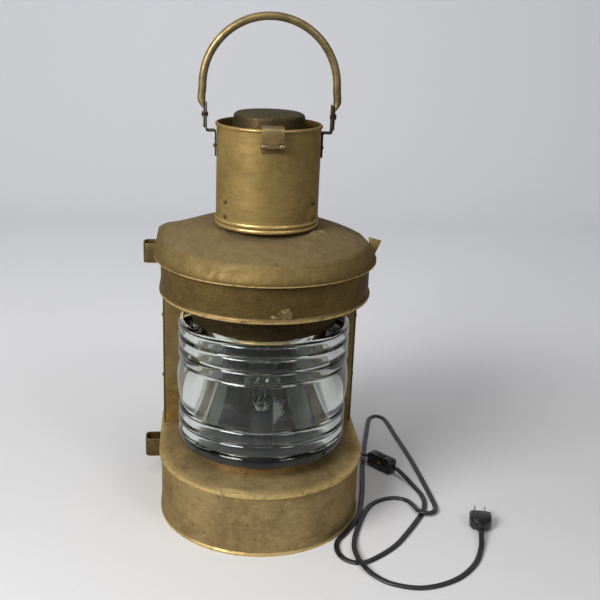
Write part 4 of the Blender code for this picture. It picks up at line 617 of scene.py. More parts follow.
def smooth(piece: bpy.types.Object, angle: float = SMOOTH_ANGLE) -> None:
    """Shade a piece smooth, except over its sharp edges."""
    take(piece)
    bpy.ops.object.shade_smooth_by_angle(angle=angle)


def modify(piece: bpy.types.Object, kind: str, **settings: object) -> None:
    """Add a modifier with its settings and apply it."""
    take(piece)
    made = piece.modifiers.new(kind.lower(), kind)
    for key, value in settings.items():
        setattr(made, key, value)
    bpy.ops.object.modifier_apply(modifier=made.name)


def outline_piece(name: str, points: Sequence[tuple[float, float, float]], filled: bool = False) -> bpy.types.Object:
    """Start a piece as one closed outline through points, from a circle primitive of as many corners.

    Args:
        name: The piece's name.
        points: The outline's corners.
        filled: Whether the outline is a face.

    Returns:
        The piece, in edit mode with the whole outline selected.
    """
    free_selection()
    bpy.ops.mesh.primitive_circle_add(vertices=len(points), radius=1, fill_type="NGON" if filled else "NOTHING")
    piece = bpy.context.object
    piece.name = name
    piece.data.name = name
    for vertex, point in zip(piece.data.vertices, points):
        vertex.co = point
    bpy.ops.object.mode_set(mode="EDIT")
    bpy.ops.mesh.select_all(action="SELECT")
    return piece


def turned(
    name: str, section: Sequence[tuple[float, float]], steps: int, cut: float | None = None
) -> bpy.types.Object:
    """Spin a closed section round the lens axis.

    Args:
        name: The piece's name.
        section: The closed section as (radius, level) corners.
        steps: Faces in a full turn.
        cut: Where given, only what lies in front of this depth is kept, with flat ends.

    Returns:
        The piece, closed and smooth.
    """
    piece = outline_piece(name, [(radius, 0.0, level) for radius, level in section])
    bpy.ops.mesh.spin(steps=steps, angle=FULL_TURN, center=(0, 0, 0), axis=(0, 0, 1))
    bpy.ops.mesh.select_all(action="SELECT")
    bpy.ops.mesh.remove_doubles(threshold=MERGE)
    if cut is not None:
        bpy.ops.mesh.select_all(action="SELECT")
        bpy.ops.mesh.bisect(plane_co=(0, cut, 0), plane_no=(0, 1, 0), use_fill=True, clear_outer=True)
    finish_mesh(piece)
    smooth(piece)
    return piece


@dataclass(frozen=True)
class HousePlan:
    """The lantern's plan: half a circle in front, straight sides and a square back with rounded corners."""

    radius: float
    back: float
    corner: float
    front_steps: int = 132
    side_steps: int = 14
    corner_steps: int = 8
    back_steps: int = 24

    def swept(self, name: str, section: Sequence[tuple[float, float]]) -> bpy.types.Object:
        """Carry a closed section round the plan by spins and extrusions.

        Args:
            name: The piece's name.
            section: The closed section as (distance outwards, level) corners.

        Returns:
            The piece, closed and smooth.
        """
        piece = outline_piece(name, [(self.radius + out, 0.0, level) for out, level in section])
        self._spin(self.front_steps, HALF_TURN, (0, 0, 0))
        self._extrude(self.side_steps, (0, self.back - self.corner, 0))
        self._spin(self.corner_steps, QUARTER_TURN, (self.corner - self.radius, self.back - self.corner, 0))
        self._extrude(self.back_steps, (2 * (self.radius - self.corner), 0, 0))
        self._spin(self.corner_steps, QUARTER_TURN, (self.radius - self.corner, self.back - self.corner, 0))
        self._extrude(self.side_steps, (0, self.corner - self.back, 0))
        finish_mesh(piece)
        smooth(piece)
        return piece

    def ring(self, level: float, inset: float = 0.0, round_share: float = 0.0) -> list[Vector]:
        """Give the plan's outline at a level, drawn in by an inset and towards a circle by a share."""
        radius = self.radius - inset
        back = self.back - inset
        corner = max(self.corner - inset, self.corner / 4)
        points = []
        for step in range(self.front_steps):
            angle = HALF_TURN + HALF_TURN * step / self.front_steps
            points.append((radius * math.cos(angle), radius * math.sin(angle)))
        rear = [(radius, (back - corner) * step / self.side_steps) for step in range(self.side_steps)]
        for step in range(self.corner_steps):
            angle = QUARTER_TURN * step / self.corner_steps
            rear.append((radius - corner + corner * math.cos(angle), back - corner + corner * math.sin(angle)))
        half = radius - corner
        rear += [(half - 2 * half * step / self.back_steps, back) for step in range(self.back_steps)]
        for step in range(self.corner_steps):
            angle = QUARTER_TURN * (1 + step / self.corner_steps)
            rear.append((corner - radius + corner * math.cos(angle), back - corner + corner * math.sin(angle)))
        rear += [
            (-radius, (back - corner) * (1 - step / self.side_steps)) for step in range(self.side_steps)
        ]
        ring = []
        for x, y in points + rear:
            angle = math.atan2(y, x)
            share = round_share if y > 0 else 0.0
            ring.append(
                Vector(
                    (
                        x + (radius * math.cos(angle) - x) * share,
                        y + (radius * math.sin(angle) - y) * share,
                        level,
                    )
                )
            )
        return ring

    def _spin(self, steps: int, angle: float, centre: tuple[float, float, float]) -> None:
        """Spin what is selected about an upright axis."""
        bpy.ops.mesh.spin(steps=steps, angle=angle, center=centre, axis=(0, 0, 1))

    def _extrude(self, steps: int, run: tuple[float, float, float]) -> None:
        """Extrude what is selected along a run, in even steps."""
        for _ in range(steps):
            bpy.ops.mesh.extrude_region_move(TRANSFORM_OT_translate={"value": [part / steps for part in run]})


def raised_sheet(name: str, rings: Sequence[Sequence[Vector]]) -> bpy.types.Object:
    """Raise a sheet through rings: each is extruded from the last and moved to its place.

    Args:
        name: The piece's name.
        rings: Closed rings with as many points each, in the same order.

    Returns:
        The open sheet.
    """
    piece = outline_piece(name, [tuple(point) for point in rings[0]])
    count = len(rings[0])
    for number, ring in enumerate(rings[1:], 1):
        bpy.ops.mesh.extrude_region_move(TRANSFORM_OT_translate={"value": (0, 0, 0)})
        builder = bmesh.from_edit_mesh(piece.data)
        builder.verts.ensure_lookup_table()
        first = number * count
        before = {tuple(round(part, 7) for part in rings[number - 1][index]): index for index in range(count)}
        for vertex in builder.verts[first : first + count]:
            vertex.co = ring[before[tuple(round(part, 7) for part in vertex.co)]]
        bmesh.update_edit_mesh(piece.data)
    bpy.ops.object.mode_set(mode="OBJECT")
    return piece


def worked(piece: bpy.types.Object, move: Callable[[Vector], Vector]) -> None:
    """Move each point of a piece, as a hammer or a knock does."""
    for vertex in piece.data.vertices:
        vertex.co = move(vertex.co.copy())
    piece.data.update()


def dress(piece: bpy.types.Object, finish: Finish) -> None:
    """Give a piece or a CAD node its material."""
    piece.data.materials.clear()
    piece.data.materials.append(finish.material())


def place_piece(piece: bpy.types.Object, finish: Finish, body: Body, *nodes: str) -> bpy.types.Object:
    """Dress a new piece, fix it to its body and let it stand for its CAD nodes."""
    dress(piece, finish)
    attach(piece, body.value)
    if nodes:
        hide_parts(*nodes)
    log.info("%s stands on %s", piece.name, body.value)
    return piece


def softened(
    node: str, finish: Finish, body: Body = Body.ROOT, width_mm: float = 0.35, segments: int = 2
) -> bpy.types.Object:
    """Copy a CAD node, ease its edges as filed and painted metal has them, and let the copy stand for it.

    Args:
        node: The CAD node.
        finish: Its finish.
        body: The body it rides on.
        width_mm: The width of the eased edge in millimetres.
        segments: Faces across that edge.

    Returns:
        The new piece.
    """
    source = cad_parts[node]
    piece = bpy.data.objects.new(f"{node}_eased", source.data.copy())
    bpy.context.collection.objects.link(piece)
    take(piece)
    bpy.ops.object.mode_set(mode="EDIT")
    bpy.ops.mesh.select_all(action="SELECT")
    bpy.ops.mesh.remove_doubles(threshold=MERGE)
    bpy.ops.mesh.dissolve_limited(angle_limit=math.radians(1))
    bpy.ops.object.mode_set(mode="OBJECT")
    modify(
        piece,
        "BEVEL",
        width=width_mm * MILLIMETRE,
        segments=segments,
        limit_method="ANGLE",
        angle_limit=math.radians(38),
    )
    smooth(piece)
    return place_piece(piece, finish, body, node)


def stepped(start: tuple[float, float], end: tuple[float, float], count: int) -> list[tuple[float, float]]:
    """Points at even steps from a start up to, and not with, an end."""
    return [
        (start[0] + (end[0] - start[0]) * step / count, start[1] + (end[1] - start[1]) * step / count)
        for step in range(count)
    ]


def arc(
    centre: tuple[float, float], radius: float, start: float, end: float, count: int
) -> list[tuple[float, float]]:
    """Points along an arc of a section, from a start angle to an end angle in degrees."""
    points = []
    for step in range(count + 1):
        angle = math.radians(start + (end - start) * step / count)
        points.append((centre[0] + radius * math.cos(angle), centre[1] + radius * math.sin(angle)))
    return points


def eased(share: float) -> float:
    """Ease a share between 0 and 1, with level ends."""
    held = min(1.0, max(0.0, share))
    return held * held * (3 - 2 * held)


def dented(point: Vector, place: Vector, reach: float, depth: float) -> Vector:
    """Push a point towards the lens axis near a place, by a soft round dent."""
    away = (point - place).length
    if away >= reach:
        return point
    share = (1 + math.cos(HALF_TURN * away / reach)) / 2
    inwards = Vector((-point.x, -point.y, 0)).normalized()
    return point + inwards * depth * share


def buckled(point: Vector, size: float, depth: float, seed: float) -> Vector:
    """Move a point in or out of the lens axis by slow noise, as old sheet metal buckles."""
    swell = noise.noise(point / size + Vector((seed, seed, seed)))
    outwards = Vector((point.x, point.y, 0)).normalized()
    return point + outwards * depth * swell


@dataclass
class Base:
    """The base: a drum, its seamed shoulder and its plate."""

    radius: float = 0.125
    back: float = 0.112
    corner: float = 0.012
    height: float = 0.080
    rim_proud: float = 0.0016
    rim_height: float = 0.004
    seam_proud: float = 0.0030
    seam_depth: float = 0.0050
    rim_top: float = 0.0815
    seat_level: float = 0.0860
    seat_radius: float = 0.0905
    hole_radius: float = 0.0740
    wall_rows: int = 22
    gap: float = 0.0003

    def build(self) -> None:
        """Make the base and dress what belongs to it."""
        self.shell()
        self.shoulder()
        dress(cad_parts["base_plate"], DARK_PAINT)

    def shell(self) -> None:
        """The drum wall, a little buckled, with a few knocks."""
        section = [
            (self.rim_proud, 0.0),
            (self.rim_proud, self.rim_height - self.rim_proud),
            (self.rim_proud / 2, self.rim_height - self.rim_proud / 2),
        ]
        section += stepped((0, self.rim_height), (0, self.height), self.wall_rows)
        section += [(0, self.height), (-SHEET, self.height)]
        section += stepped((-SHEET, self.height - SHEET), (-SHEET, 0), self.wall_rows)
        section.append((-SHEET, 0.0))
        piece = HousePlan(self.radius, self.back, self.corner).swept("base_drum", section)

        def knock(point: Vector) -> Vector:
            """Buckle the wall between its stiff rims."""
            if not self.rim_height < point.z < self.rim_top - self.seam_depth or point.y > self.back / 2:
                return point
            free = math.sin(HALF_TURN * (point.z - self.rim_height) / (self.height - self.rim_height))
            moved = buckled(point, 0.055, 0.0006 * free, 4.0)
            moved = dented(moved, Vector((0.102, -0.072, 0.040)), 0.030, 0.0011 * free)
            return dented(moved, Vector((-0.040, -0.118, 0.046)), 0.022, 0.0005 * free)

        worked(piece, knock)
        place_piece(piece, BASE_PAINT, Body.ROOT, "base_shell")

    def shoulder(self) -> None:
        """The seam folded over the drum, the slope and the lens seat."""
        plan = HousePlan(self.radius, self.back, self.corner)
        foot = self.rim_top - self.seam_depth
        proud = self.seam_proud
        soft = 0.0011
        outer = [
            (-self.gap, foot),
            (soft - proud, foot),
            (soft * 0.3 - proud, foot + soft * 0.3),
            (-proud, foot + soft),
            (-proud, self.rim_top - soft),
            (soft * 0.3 - proud, self.rim_top - soft * 0.3),
            (soft - proud, self.rim_top),
        ]
        rings = [plan.ring(level, inset) for inset, level in outer]
        rise = self.seat_level - self.rim_top
        reach = self.radius - self.seat_radius
        for share in (0.12, 0.3, 0.5, 0.7, 0.88, 1.0):
            rings.append(plan.ring(self.rim_top + rise * share, soft - proud + (reach - soft + proud) * share, share))
        rings.append(plan.ring(self.seat_level, self.radius - self.hole_radius, 1.0))
        piece = raised_sheet("base_shoulder_pan", rings)
        finish_mesh(piece)
        modify(piece, "SOLIDIFY", thickness=SHEET, offset=-1)
        smooth(piece)
        place_piece(piece, BASE_PAINT, Body.ROOT, "base_shoulder")


@dataclass
class LensStage:
    """The drum lens with its collars, the screen behind it, and the lamp."""

    collar_radius: float = 0.0876
    lower_foot: float = 0.0863
    lower_height: float = 0.0124
    ledge_radius: float = 0.0812
    bore: float = 0.0800
    foot: float = 0.0878
    start: float = 0.0987
    ribs: int = 3
    rib_height: float = 0.0163
    crest: float = 0.1037
    groove: float = 0.0036
    roundness: float = 4.0
    belt_height: float = 0.0590
    belt_radius: float = 0.1053
    belt_sagitta: float = 0.0042
    foot_taper: float = 0.0125
    head_taper: float = 0.0065
    end: float = 0.2555
    top_lip: float = 0.0095
    band_foot: float = 0.2885
    cut: float = 0.0647
    steps: int = 220
    rib_steps: int = 18
    belt_steps: int = 40
    bore_rows: int = 24

    def build(self) -> None:
        """Make the glass and its collars, and dress the rest."""
        place_piece(self.glass(), LENS_GLASS, Body.ROOT, "drum_lens")
        place_piece(self.lower_collar(), BASE_PAINT, Body.ROOT, "lower_lens_collar")
        place_piece(self.upper_collar(), SHADED_COLLAR_PAINT, Body.ROOT, "upper_lens_collar")
        softened("screen_plate", SCREEN_PAINT)
        dress(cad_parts["lamp_tray"], TRAY_PAINT)
        for node in ("lamp_pipe", "pipe_nut"):
            dress(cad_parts[node], BRASS)
        softened("socket_cap", SOCKET_MOULDING, width_mm=0.3)
        softened("socket_shell", SOCKET_MOULDING, width_mm=0.3)
        dress(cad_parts["bulb_cap"], NICKEL)
        self.bulb()

    def glass(self) -> bpy.types.Object:
        """Spin the ribbed outline and the plain bore, and cut the glass flat behind."""
        lip = self.collar_radius - SHEET - self._gap()
        line = [(lip, self.foot), (lip, self.start)]
        level = self.start
        for rib in range(self.ribs):
            line += self._rib(level, self.foot_taper if rib == 0 else self.groove, self.groove)
            level += self.rib_height
        for step in range(1, self.belt_steps):
            side = 2 * step / self.belt_steps - 1
            line.append((self.belt_radius - self.belt_sagitta * side**2, level + self.belt_height * step / self.belt_steps))
        level += self.belt_height
        for rib in range(self.ribs):
            line += self._rib(level, self.groove, self.head_taper if rib == self.ribs - 1 else self.groove)
            level += self.rib_height
        line += [(lip, self.end), (lip, self.end + self.top_lip)]
        line += stepped((self.bore, self.end + self.top_lip), (self.bore, self.foot), self.bore_rows)
        line.append((self.bore, self.foot))
        return turned("lens_glass", self._distinct(line), self.steps, self.cut)

    def lower_collar(self) -> bpy.types.Object:
        """The ring round the foot of the glass."""
        top = self.lower_foot + self.lower_height
        section = [
            (self.collar_radius, self.lower_foot),
            (self.collar_radius, top - SHEET / 3),
            (self.collar_radius - SHEET / 3, top),
            (self.collar_radius - SHEET, top),
            (self.collar_radius - SHEET, self.lower_foot + SHEET),
            (self.ledge_radius, self.lower_foot + SHEET),
            (self.ledge_radius, self.lower_foot),
        ]
        return turned("lens_foot_collar", section, self.steps, self.cut)

    def upper_collar(self) -> bpy.types.Object:
        """The deeper ring round the head of the glass."""
        low = self.end + self._gap()
        section = [
            (self.collar_radius - SHEET / 3, low),
            (self.collar_radius, low + SHEET / 3),
            (self.collar_radius, self.band_foot - self._gap()),
            (self.collar_radius - SHEET, self.band_foot - self._gap()),
            (self.collar_radius - SHEET, low),
        ]
        return turned("lens_head_collar", section, self.steps, self.cut)

    def bulb(self) -> None:
        """The lamp's glass, blown thin: a ball on a neck."""
        low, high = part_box("bulb_glass")
        neck = 0.0120
        wall = 0.0006
        radius = (high[0] - low[0]) / 2
        centre = high[2] - radius
        outer = [(neck, low[2])]
        outer += arc((0, centre), radius, -52, 89, 30)
        inner = [(max(reach - wall, 0.0004), level - (wall if level > centre else 0)) for reach, level in outer]
        piece = turned("lamp_bulb", outer + list(reversed(inner)), 64)
        place_piece(piece, BULB_GLASS, Body.ROOT, "bulb_glass")

    def _rib(self, level: float, foot_drop: float, head_drop: float) -> list[tuple[float, float]]:
        """The outline of one rib."""
        points = []
        for step in range(self.rib_steps + 1):
            side = 2 * step / self.rib_steps - 1
            drop = foot_drop if side < 0 else head_drop
            points.append((self.crest - drop * abs(side) ** self.roundness, level + self.rib_height * step / self.rib_steps))
        return points

    def _distinct(self, line: list[tuple[float, float]]) -> list[tuple[float, float]]:
        """Leave out a point that repeats the one before it."""
        kept = [line[0]]
        for point in line[1:]:
            if math.dist(point, kept[-1]) > MERGE:
                kept.append(point)
        return kept

    def _gap(self) -> float:
        """The fit between glass and metal."""
        return 0.3 * MILLIMETRE


@dataclass
class Housing:
    """The sides and back behind the lens, with the lamp door and the bracket loops."""

    rivets: tuple[str, ...] = ("side_rivet_1", "side_rivet_2", "side_rivet_3", "side_rivet_4")

    def build(self) -> None:
        """Ease and dress the housing, the door and the loops."""
        softened("rear_housing", HOUSING_PAINT)
        for rivet in self.rivets:
            softened(rivet, BODY_PAINT, width_mm=0.2)
        softened("side_loop_upper", LOOP_PAINT)
        softened("side_loop_lower", LOOP_PAINT)
        softened("rear_door", DOOR_PAINT, Body.DOOR)
        softened("door_hinge_strap", DARK_PAINT, Body.DOOR)
        softened("door_knob", BRASS, Body.DOOR)
        softened("door_hinge_leaf", DARK_PAINT)
        softened("door_hinge_pin", DARK_PAINT, width_mm=0.2)


@dataclass
class RoofStage:
    """The band, its plate and the roof pan."""

    band_radius: float = 0.1235
    back: float = 0.112
    corner: float = 0.012
    band_foot: float = 0.2885
    band_height: float = 0.0435
    bead_height: float = 0.0062
    bead_proud: float = 0.0022
    roof_foot: float = 0.3320
    overhang: float = 0.0075
    lip: float = 0.0048
    steep_rise: float = 0.0165
    steep_run: float = 0.0105
    slope_rise: float = 0.0155
    crown_radius: float = 0.0620
    hole_radius: float = 0.0340
    slope_rows: int = 24
    corner_reach: float = 0.33
    corner_curve: float = 0.85
    sag: float = 0.0070
    gap_place: float = -0.006
    gap_reach: float = 0.066
    gap_depth: float = 0.0055
    gap_radius: float = 0.0600
    solder_angles: tuple[float, float] = (math.radians(-146), math.radians(-34))
    solder_radius: float = 0.0690
    solder_reach: float = 0.0170
    solder_height: float = 0.0046
    fold_depth: float = 0.0016

    def build(self) -> None:
        """Make the band and the roof."""
        self.band()
        self.roof()
        dress(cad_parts["band_plate"], DARK_PAINT)
        reach = self.band_radius + 0.0002
        for name, across, level, wide, high in (
            ("band_solder_scar", 0.0130, 0.2990, 0.0075, 0.0055),
            ("band_solder_run", 0.0030, 0.2965, 0.0050, 0.0022),
        ):
            out = math.sqrt(reach**2 - across**2)
            self.scar(name, Vector((across, -out, level)), (wide, 0.0011, high))
        self.tab("roof_tab_right", (0.1290, -0.002, 0.3300), 0.0200, 0.0100)
        self.tab("roof_tab_left", (-0.1300, 0.030, 0.3330), 0.0070, 0.0026)

    def scar(self, name: str, place: Vector, half: tuple[float, float, float]) -> None:
        """A rough patch of old solder, flattened against the band."""
        free_selection()
        bpy.ops.mesh.primitive_ico_sphere_add(subdivisions=5, radius=1, location=(0, 0, 0))
        piece = bpy.context.object
        piece.name = name
        seed = Vector((place.x * 900, 4, place.z * 300))

        def lump(point: Vector) -> Vector:
            """Make the patch uneven, with a ragged edge."""
            rough = 1 + 0.55 * noise.noise(point * 1.6 + seed) + 0.3 * noise.noise(point * 4.5 + seed)
            shaped = Vector([part * size for part, size in zip(point * rough, half)])
            return place + shaped

        worked(piece, lump)
        finish_mesh(piece)
        smooth(piece, math.radians(60))
        place_piece(piece, SOLDER, Body.ROOT)

    def band(self) -> None:
        """The upper drum wall with its rolled bead."""
        top = self.band_height - 0.0003
        bead = arc((0, self.bead_height / 2), self.bead_height / 2, -90, 90, 10)
        section = [(reach * self.bead_proud / (self.bead_height / 2), level) for reach, level in bead]
        section += stepped((0, self.bead_height * 1.15), (0, top), 12)
        section += [(0, top), (-SHEET, top)]
        section += stepped((-SHEET, top - SHEET), (-SHEET, 0), 12)
        section.append((-SHEET, 0.0))
        levels = [(out, self.band_foot + level) for out, level in section]
        piece = HousePlan(self.band_radius, self.back, self.corner).swept("roof_band", levels)
        place_piece(piece, SHADED_BAND_PAINT, Body.ROOT, "band_shell")

    def roof(self) -> None:
        """The roof pan: lip, steep edge and crown, hammered and soldered round the chimney."""
        plan = HousePlan(self.band_radius + self.overhang, self.back + self.overhang, self.corner)
        lip_top = self.roof_foot + self.lip
        knee_level = lip_top + self.steep_rise
        span = plan.radius - self.steep_run - self.crown_radius
        top = knee_level + self.slope_rise
        rows = [(self.roof_foot + self.lip * share, 0.0, 0.0) for share in (0, 0.35, 0.7, 1.0)]
        for run_share, rise_share in ((0.22, 0.30), (0.42, 0.50), (0.60, 0.66), (0.78, 0.81)):
            rows.append((lip_top + self.steep_rise * rise_share, self.steep_run * run_share, 0.0))
        for step in range(self.slope_rows + 1):
            share = step / self.slope_rows
            rise = 1 - (1 - share) ** 1.9
            level = knee_level + self.slope_rise * (0.04 + 0.96 * rise)
            rows.append((level, self.steep_run + span * share, share**1.2))
        for radius in (0.0585, 0.0550, 0.0510, 0.0480, self.hole_radius):
            rows.append((top, plan.radius - radius, 1.0))
        rings = []
        for level, inset, share in rows:
            ring = plan.ring(level, inset, share)
            ring = [self._let_down(point, plan.radius, inset, lip_top, top) for point in ring]
            rings.append([self._knocked(point) if inset > self.steep_run else point for point in ring])
        piece = raised_sheet("roof_pan", rings)
        finish_mesh(piece)
        modify(piece, "SOLIDIFY", thickness=SHEET, offset=-1)
        smooth(piece)
        place_piece(piece, ROOF_PAINT, Body.ROOT, "roof")

    def _let_down(self, point: Vector, radius: float, inset: float, lip_top: float, top: float) -> Vector:
        """Lower a point of the pan towards the square back corners, and at the right, where it has sagged.

        Args:
            point: The point on the pan.
            radius: The pan's radius at its lip.
            inset: How far the point's ring is drawn in.
            lip_top: The level of the lip's top.
            top: The level of the crown.

        Returns:
            The lowered point.
        """
        run = min(1, max(0, inset / (radius - self.crown_radius)))
        beyond = (point.xy.length / (radius - inset) - 1) / self.corner_reach if point.y > 0 else 0
        low = min(point.z, lip_top + (top - lip_top) * run**self.corner_curve)
        level = point.z + (low - point.z) * eased(beyond)
        level -= self.sag * eased(point.x / radius) * eased((point.y + 0.05) / 0.1) * (1 - run)
        return Vector((point.x, point.y, level))

    def _knocked(self, point: Vector) -> Vector:
        """Sink the pan under the chimney's front and raise rough solder round the two bracket feet."""
        away = point.xy.length
        if away < self.hole_radius + 0.012:
            return point
        front = eased(-point.y / 0.03 + 0.3) * (1 - eased(abs(point.x - self.gap_place) / self.gap_reach))
        sunk = self.gap_depth * front * (1 - eased(abs(away - self.gap_radius) / 0.022))
        raised = 0.0
        for angle in self.solder_angles:
            foot = Vector((math.cos(angle), math.sin(angle))) * self.solder_radius
            near = 1 - eased((point.xy - foot).length / self.solder_reach)
            lumps = 0.5 + noise.noise(Vector((*point.xy, 0)) / 0.006)
            raised += self.solder_height * near * max(0.0, lumps)
        folds = noise.noise(Vector((point.x * 0.6, point.y, 0)) / 0.030 + Vector((3, 1, 2)))
        worn = self.fold_depth * folds * eased((away - 0.07) / 0.02) * (1 - eased((away - 0.105) / 0.015))
        return point + Vector((0, 0, raised - sunk + worn))

    def tab(self, name: str, foot: tuple[float, float, float], height: float, reach: float) -> None:
        """A corner of the lip that was left standing when the pan was trimmed.

        Args:
            name: The piece's name.
            foot: Its lowest corner, on the lip.
            height: How far it stands up along the lip.
            reach: How far it stands out.
        """
        x, y, z = foot
        side = 1 if x > 0 else -1
        corners = [
            (x, y, z),
            (x + side * reach, y + reach / 2, z + height),
            (x - side * reach / 2, y + reach, z + height * 1.15),
            (x - side * reach / 2, y, z + height / 4),
        ]
        piece = outline_piece(name, corners, filled=True)
        bpy.ops.mesh.subdivide(number_cuts=2)
        bpy.ops.object.mode_set(mode="OBJECT")
        modify(piece, "SOLIDIFY", thickness=SHEET, offset=0)
        finish_mesh(piece)
        modify(piece, "BEVEL", width=0.25 * MILLIMETRE, segments=2, limit_method="ANGLE")
        smooth(piece)
        place_piece(piece, ROOF_PAINT, Body.ROOT)


@dataclass
class Chimney:
    """The chimney on its brackets, over the neck tube."""

    radius: float = 0.0595
    foot: float = 0.3712
    rim: float = 0.4872
    rim_bead: float = 0.0021
    rim_proud: float = 0.0016
    bead_proud: float = 0.0012
    bead_pitch: float = 0.0055
    wall_rows: int = 26
    steps: int = 160
    neck_radius: float = 0.0370
    flange_radius: float = 0.0455
    roof_top: float = 0.3688
    neck_height: float = 0.0700

    def build(self) -> None:
        """Make the shell and the neck tube, and ease the small metalwork."""
        place_piece(self.shell(), CHIMNEY_PAINT, Body.ROOT, "chimney_shell")
        place_piece(self.neck(), DARK_PAINT, Body.ROOT, "neck_tube")
        for number in (1, 2, 3):
            softened(f"chimney_bracket_{number}", DARK_PAINT)
        for number in (1, 2):
            for place in ("lower", "upper"):
                softened(f"chimney_rivet_{number}_{place}", DARK_PAINT, width_mm=0.2)
        for side in ("left", "right"):
            softened(f"bail_ear_{side}", EAR_PAINT)
            softened(f"ear_rivet_{side}", DARK_PAINT, width_mm=0.2)
            softened(f"bail_pivot_{side}", DARK_PAINT, width_mm=0.2)

    def shell(self) -> bpy.types.Object:
        """The chimney wall between its beaded foot and its wired rim."""
        section = []
        for index in (0, 1):
            middle = self.foot + self.bead_pitch * (0.42 + index * 1.02)
            for reach, level in arc((0, 0), 1, -80, 80, 10):
                section.append((self.radius + self.bead_proud * reach, middle + self.bead_pitch * 0.42 * level))
        low = self.foot + self.bead_pitch * 2.1
        wire = (self.radius + self.rim_proud - self.rim_bead, self.rim - self.rim_bead)
        section += stepped((self.radius, low), (self.radius, wire[1] - self.rim_bead), self.wall_rows)
        section += arc(wire, self.rim_bead, -75, 105, 12)
        bore = self.radius - SHEET
        section += stepped((bore, wire[1] - self.rim_bead), (bore, self.foot), self.wall_rows)
        section.append((bore, self.foot))
        piece = turned("chimney_wall", section, self.steps)

        def knock(point: Vector) -> Vector:
            """Buckle the wall between its foot and its rim."""
            if not low < point.z < wire[1]:
                return point
            free = math.sin(HALF_TURN * (point.z - low) / (wire[1] - low))
            return buckled(point, 0.045, 0.0004 * free, 9.0)

        worked(piece, knock)
        return piece

    def neck(self) -> bpy.types.Object:
        """The inner flue with its flange on the roof."""
        foot = self.roof_top + 0.0003
        top = foot + self.neck_height
        section = [
            (self.flange_radius, foot + SHEET),
            (self.neck_radius, foot + SHEET),
            (self.neck_radius, top),
            (self.neck_radius - SHEET, top),
            (self.neck_radius - SHEET, foot),
            (self.flange_radius, foot),
        ]
        return turned("flue_neck", section, 120)


@dataclass
class Bail:
    """The tube handle with its flattened ends."""

    pivot: float = 0.4952
    arch: float = 0.0754
    tube: float = 0.0045
    leg: float = 0.0320
    tongue_place: float = 0.0733
    tongue_half: tuple[float, float] = (0.0012, 0.00575)
    tongue_tip: float = 0.0150
    flat_top: float = 0.5012
    inner_face: float = 0.0721
    swell: float = 0.0110
    corners: int = 24
    arch_steps: int = 96

    def build(self) -> None:
        """Make the bail and fix it to its body."""
        place_piece(self.handle(), BAIL_PAINT, Body.BAIL, "bail")

    def handle(self) -> bpy.types.Object:
        """Extrude one ring up the leg, round the arch and down, and flatten its ends."""
        thick, wide = self.tongue_half
        stations = [
            (self.tongue_place, self.pivot - self.tongue_tip, thick, wide * 0.35),
            (self.tongue_place, self.pivot - self.tongue_tip * 0.93, thick, wide * 0.62),
            (self.tongue_place, self.pivot - self.tongue_tip * 0.80, thick, wide * 0.84),
            (self.tongue_place, self.pivot - self.tongue_tip * 0.60, thick, wide),
            (self.tongue_place, self.flat_top, thick, wide),
        ]
        for share in (0.15, 0.3, 0.45, 0.6, 0.8, 1.0):
            ease = math.sin(QUARTER_TURN * share)
            half = thick + (self.tube - thick) * ease
            level = self.flat_top + self.swell * share
            stations.append((self.inner_face + half, level, half, wide + (self.tube - wide) * share))
        low = self.flat_top + self.swell
        spring = self.pivot + self.leg
        for share in (0.25, 0.5, 0.75):
            out = self.inner_face + self.tube
            place = out + (self.arch - out) * eased(share)
            stations.append((place, low + (spring - low) * share, self.tube, self.tube))
        rings = [self._oval(*station) for station in stations]
        for step in range(self.arch_steps + 1):
            turn = HALF_TURN * step / self.arch_steps
            ring = []
            for corner in range(self.corners):
                angle = FULL_TURN * (corner + 0.5) / self.corners
                reach = self.arch + self.tube * math.cos(angle)
                across = self.tube * math.sin(angle)
                ring.append(Vector((reach * math.cos(turn), across, spring + reach * math.sin(turn))))
            rings.append(ring)
        rings += [[Vector((-point.x, point.y, point.z)) for point in ring] for ring in reversed(rings[: len(stations)])]
        piece = raised_sheet("bail_handle", rings)
        take(piece)
        bpy.ops.object.mode_set(mode="EDIT")
        bpy.ops.mesh.select_all(action="DESELECT")
        bpy.ops.mesh.select_non_manifold()
        bpy.ops.mesh.edge_face_add()
        bpy.ops.object.mode_set(mode="OBJECT")
        finish_mesh(piece)
        smooth(piece)
        return piece

    def _oval(self, out: float, level: float, thick: float, wide: float) -> list[Vector]:
        """A level oval ring of the leg."""
        ring = []
        for corner in range(self.corners):
            angle = FULL_TURN * (corner + 0.5) / self.corners
            ring.append(Vector((out + thick * math.cos(angle), wide * math.sin(angle), level)))
        return ring


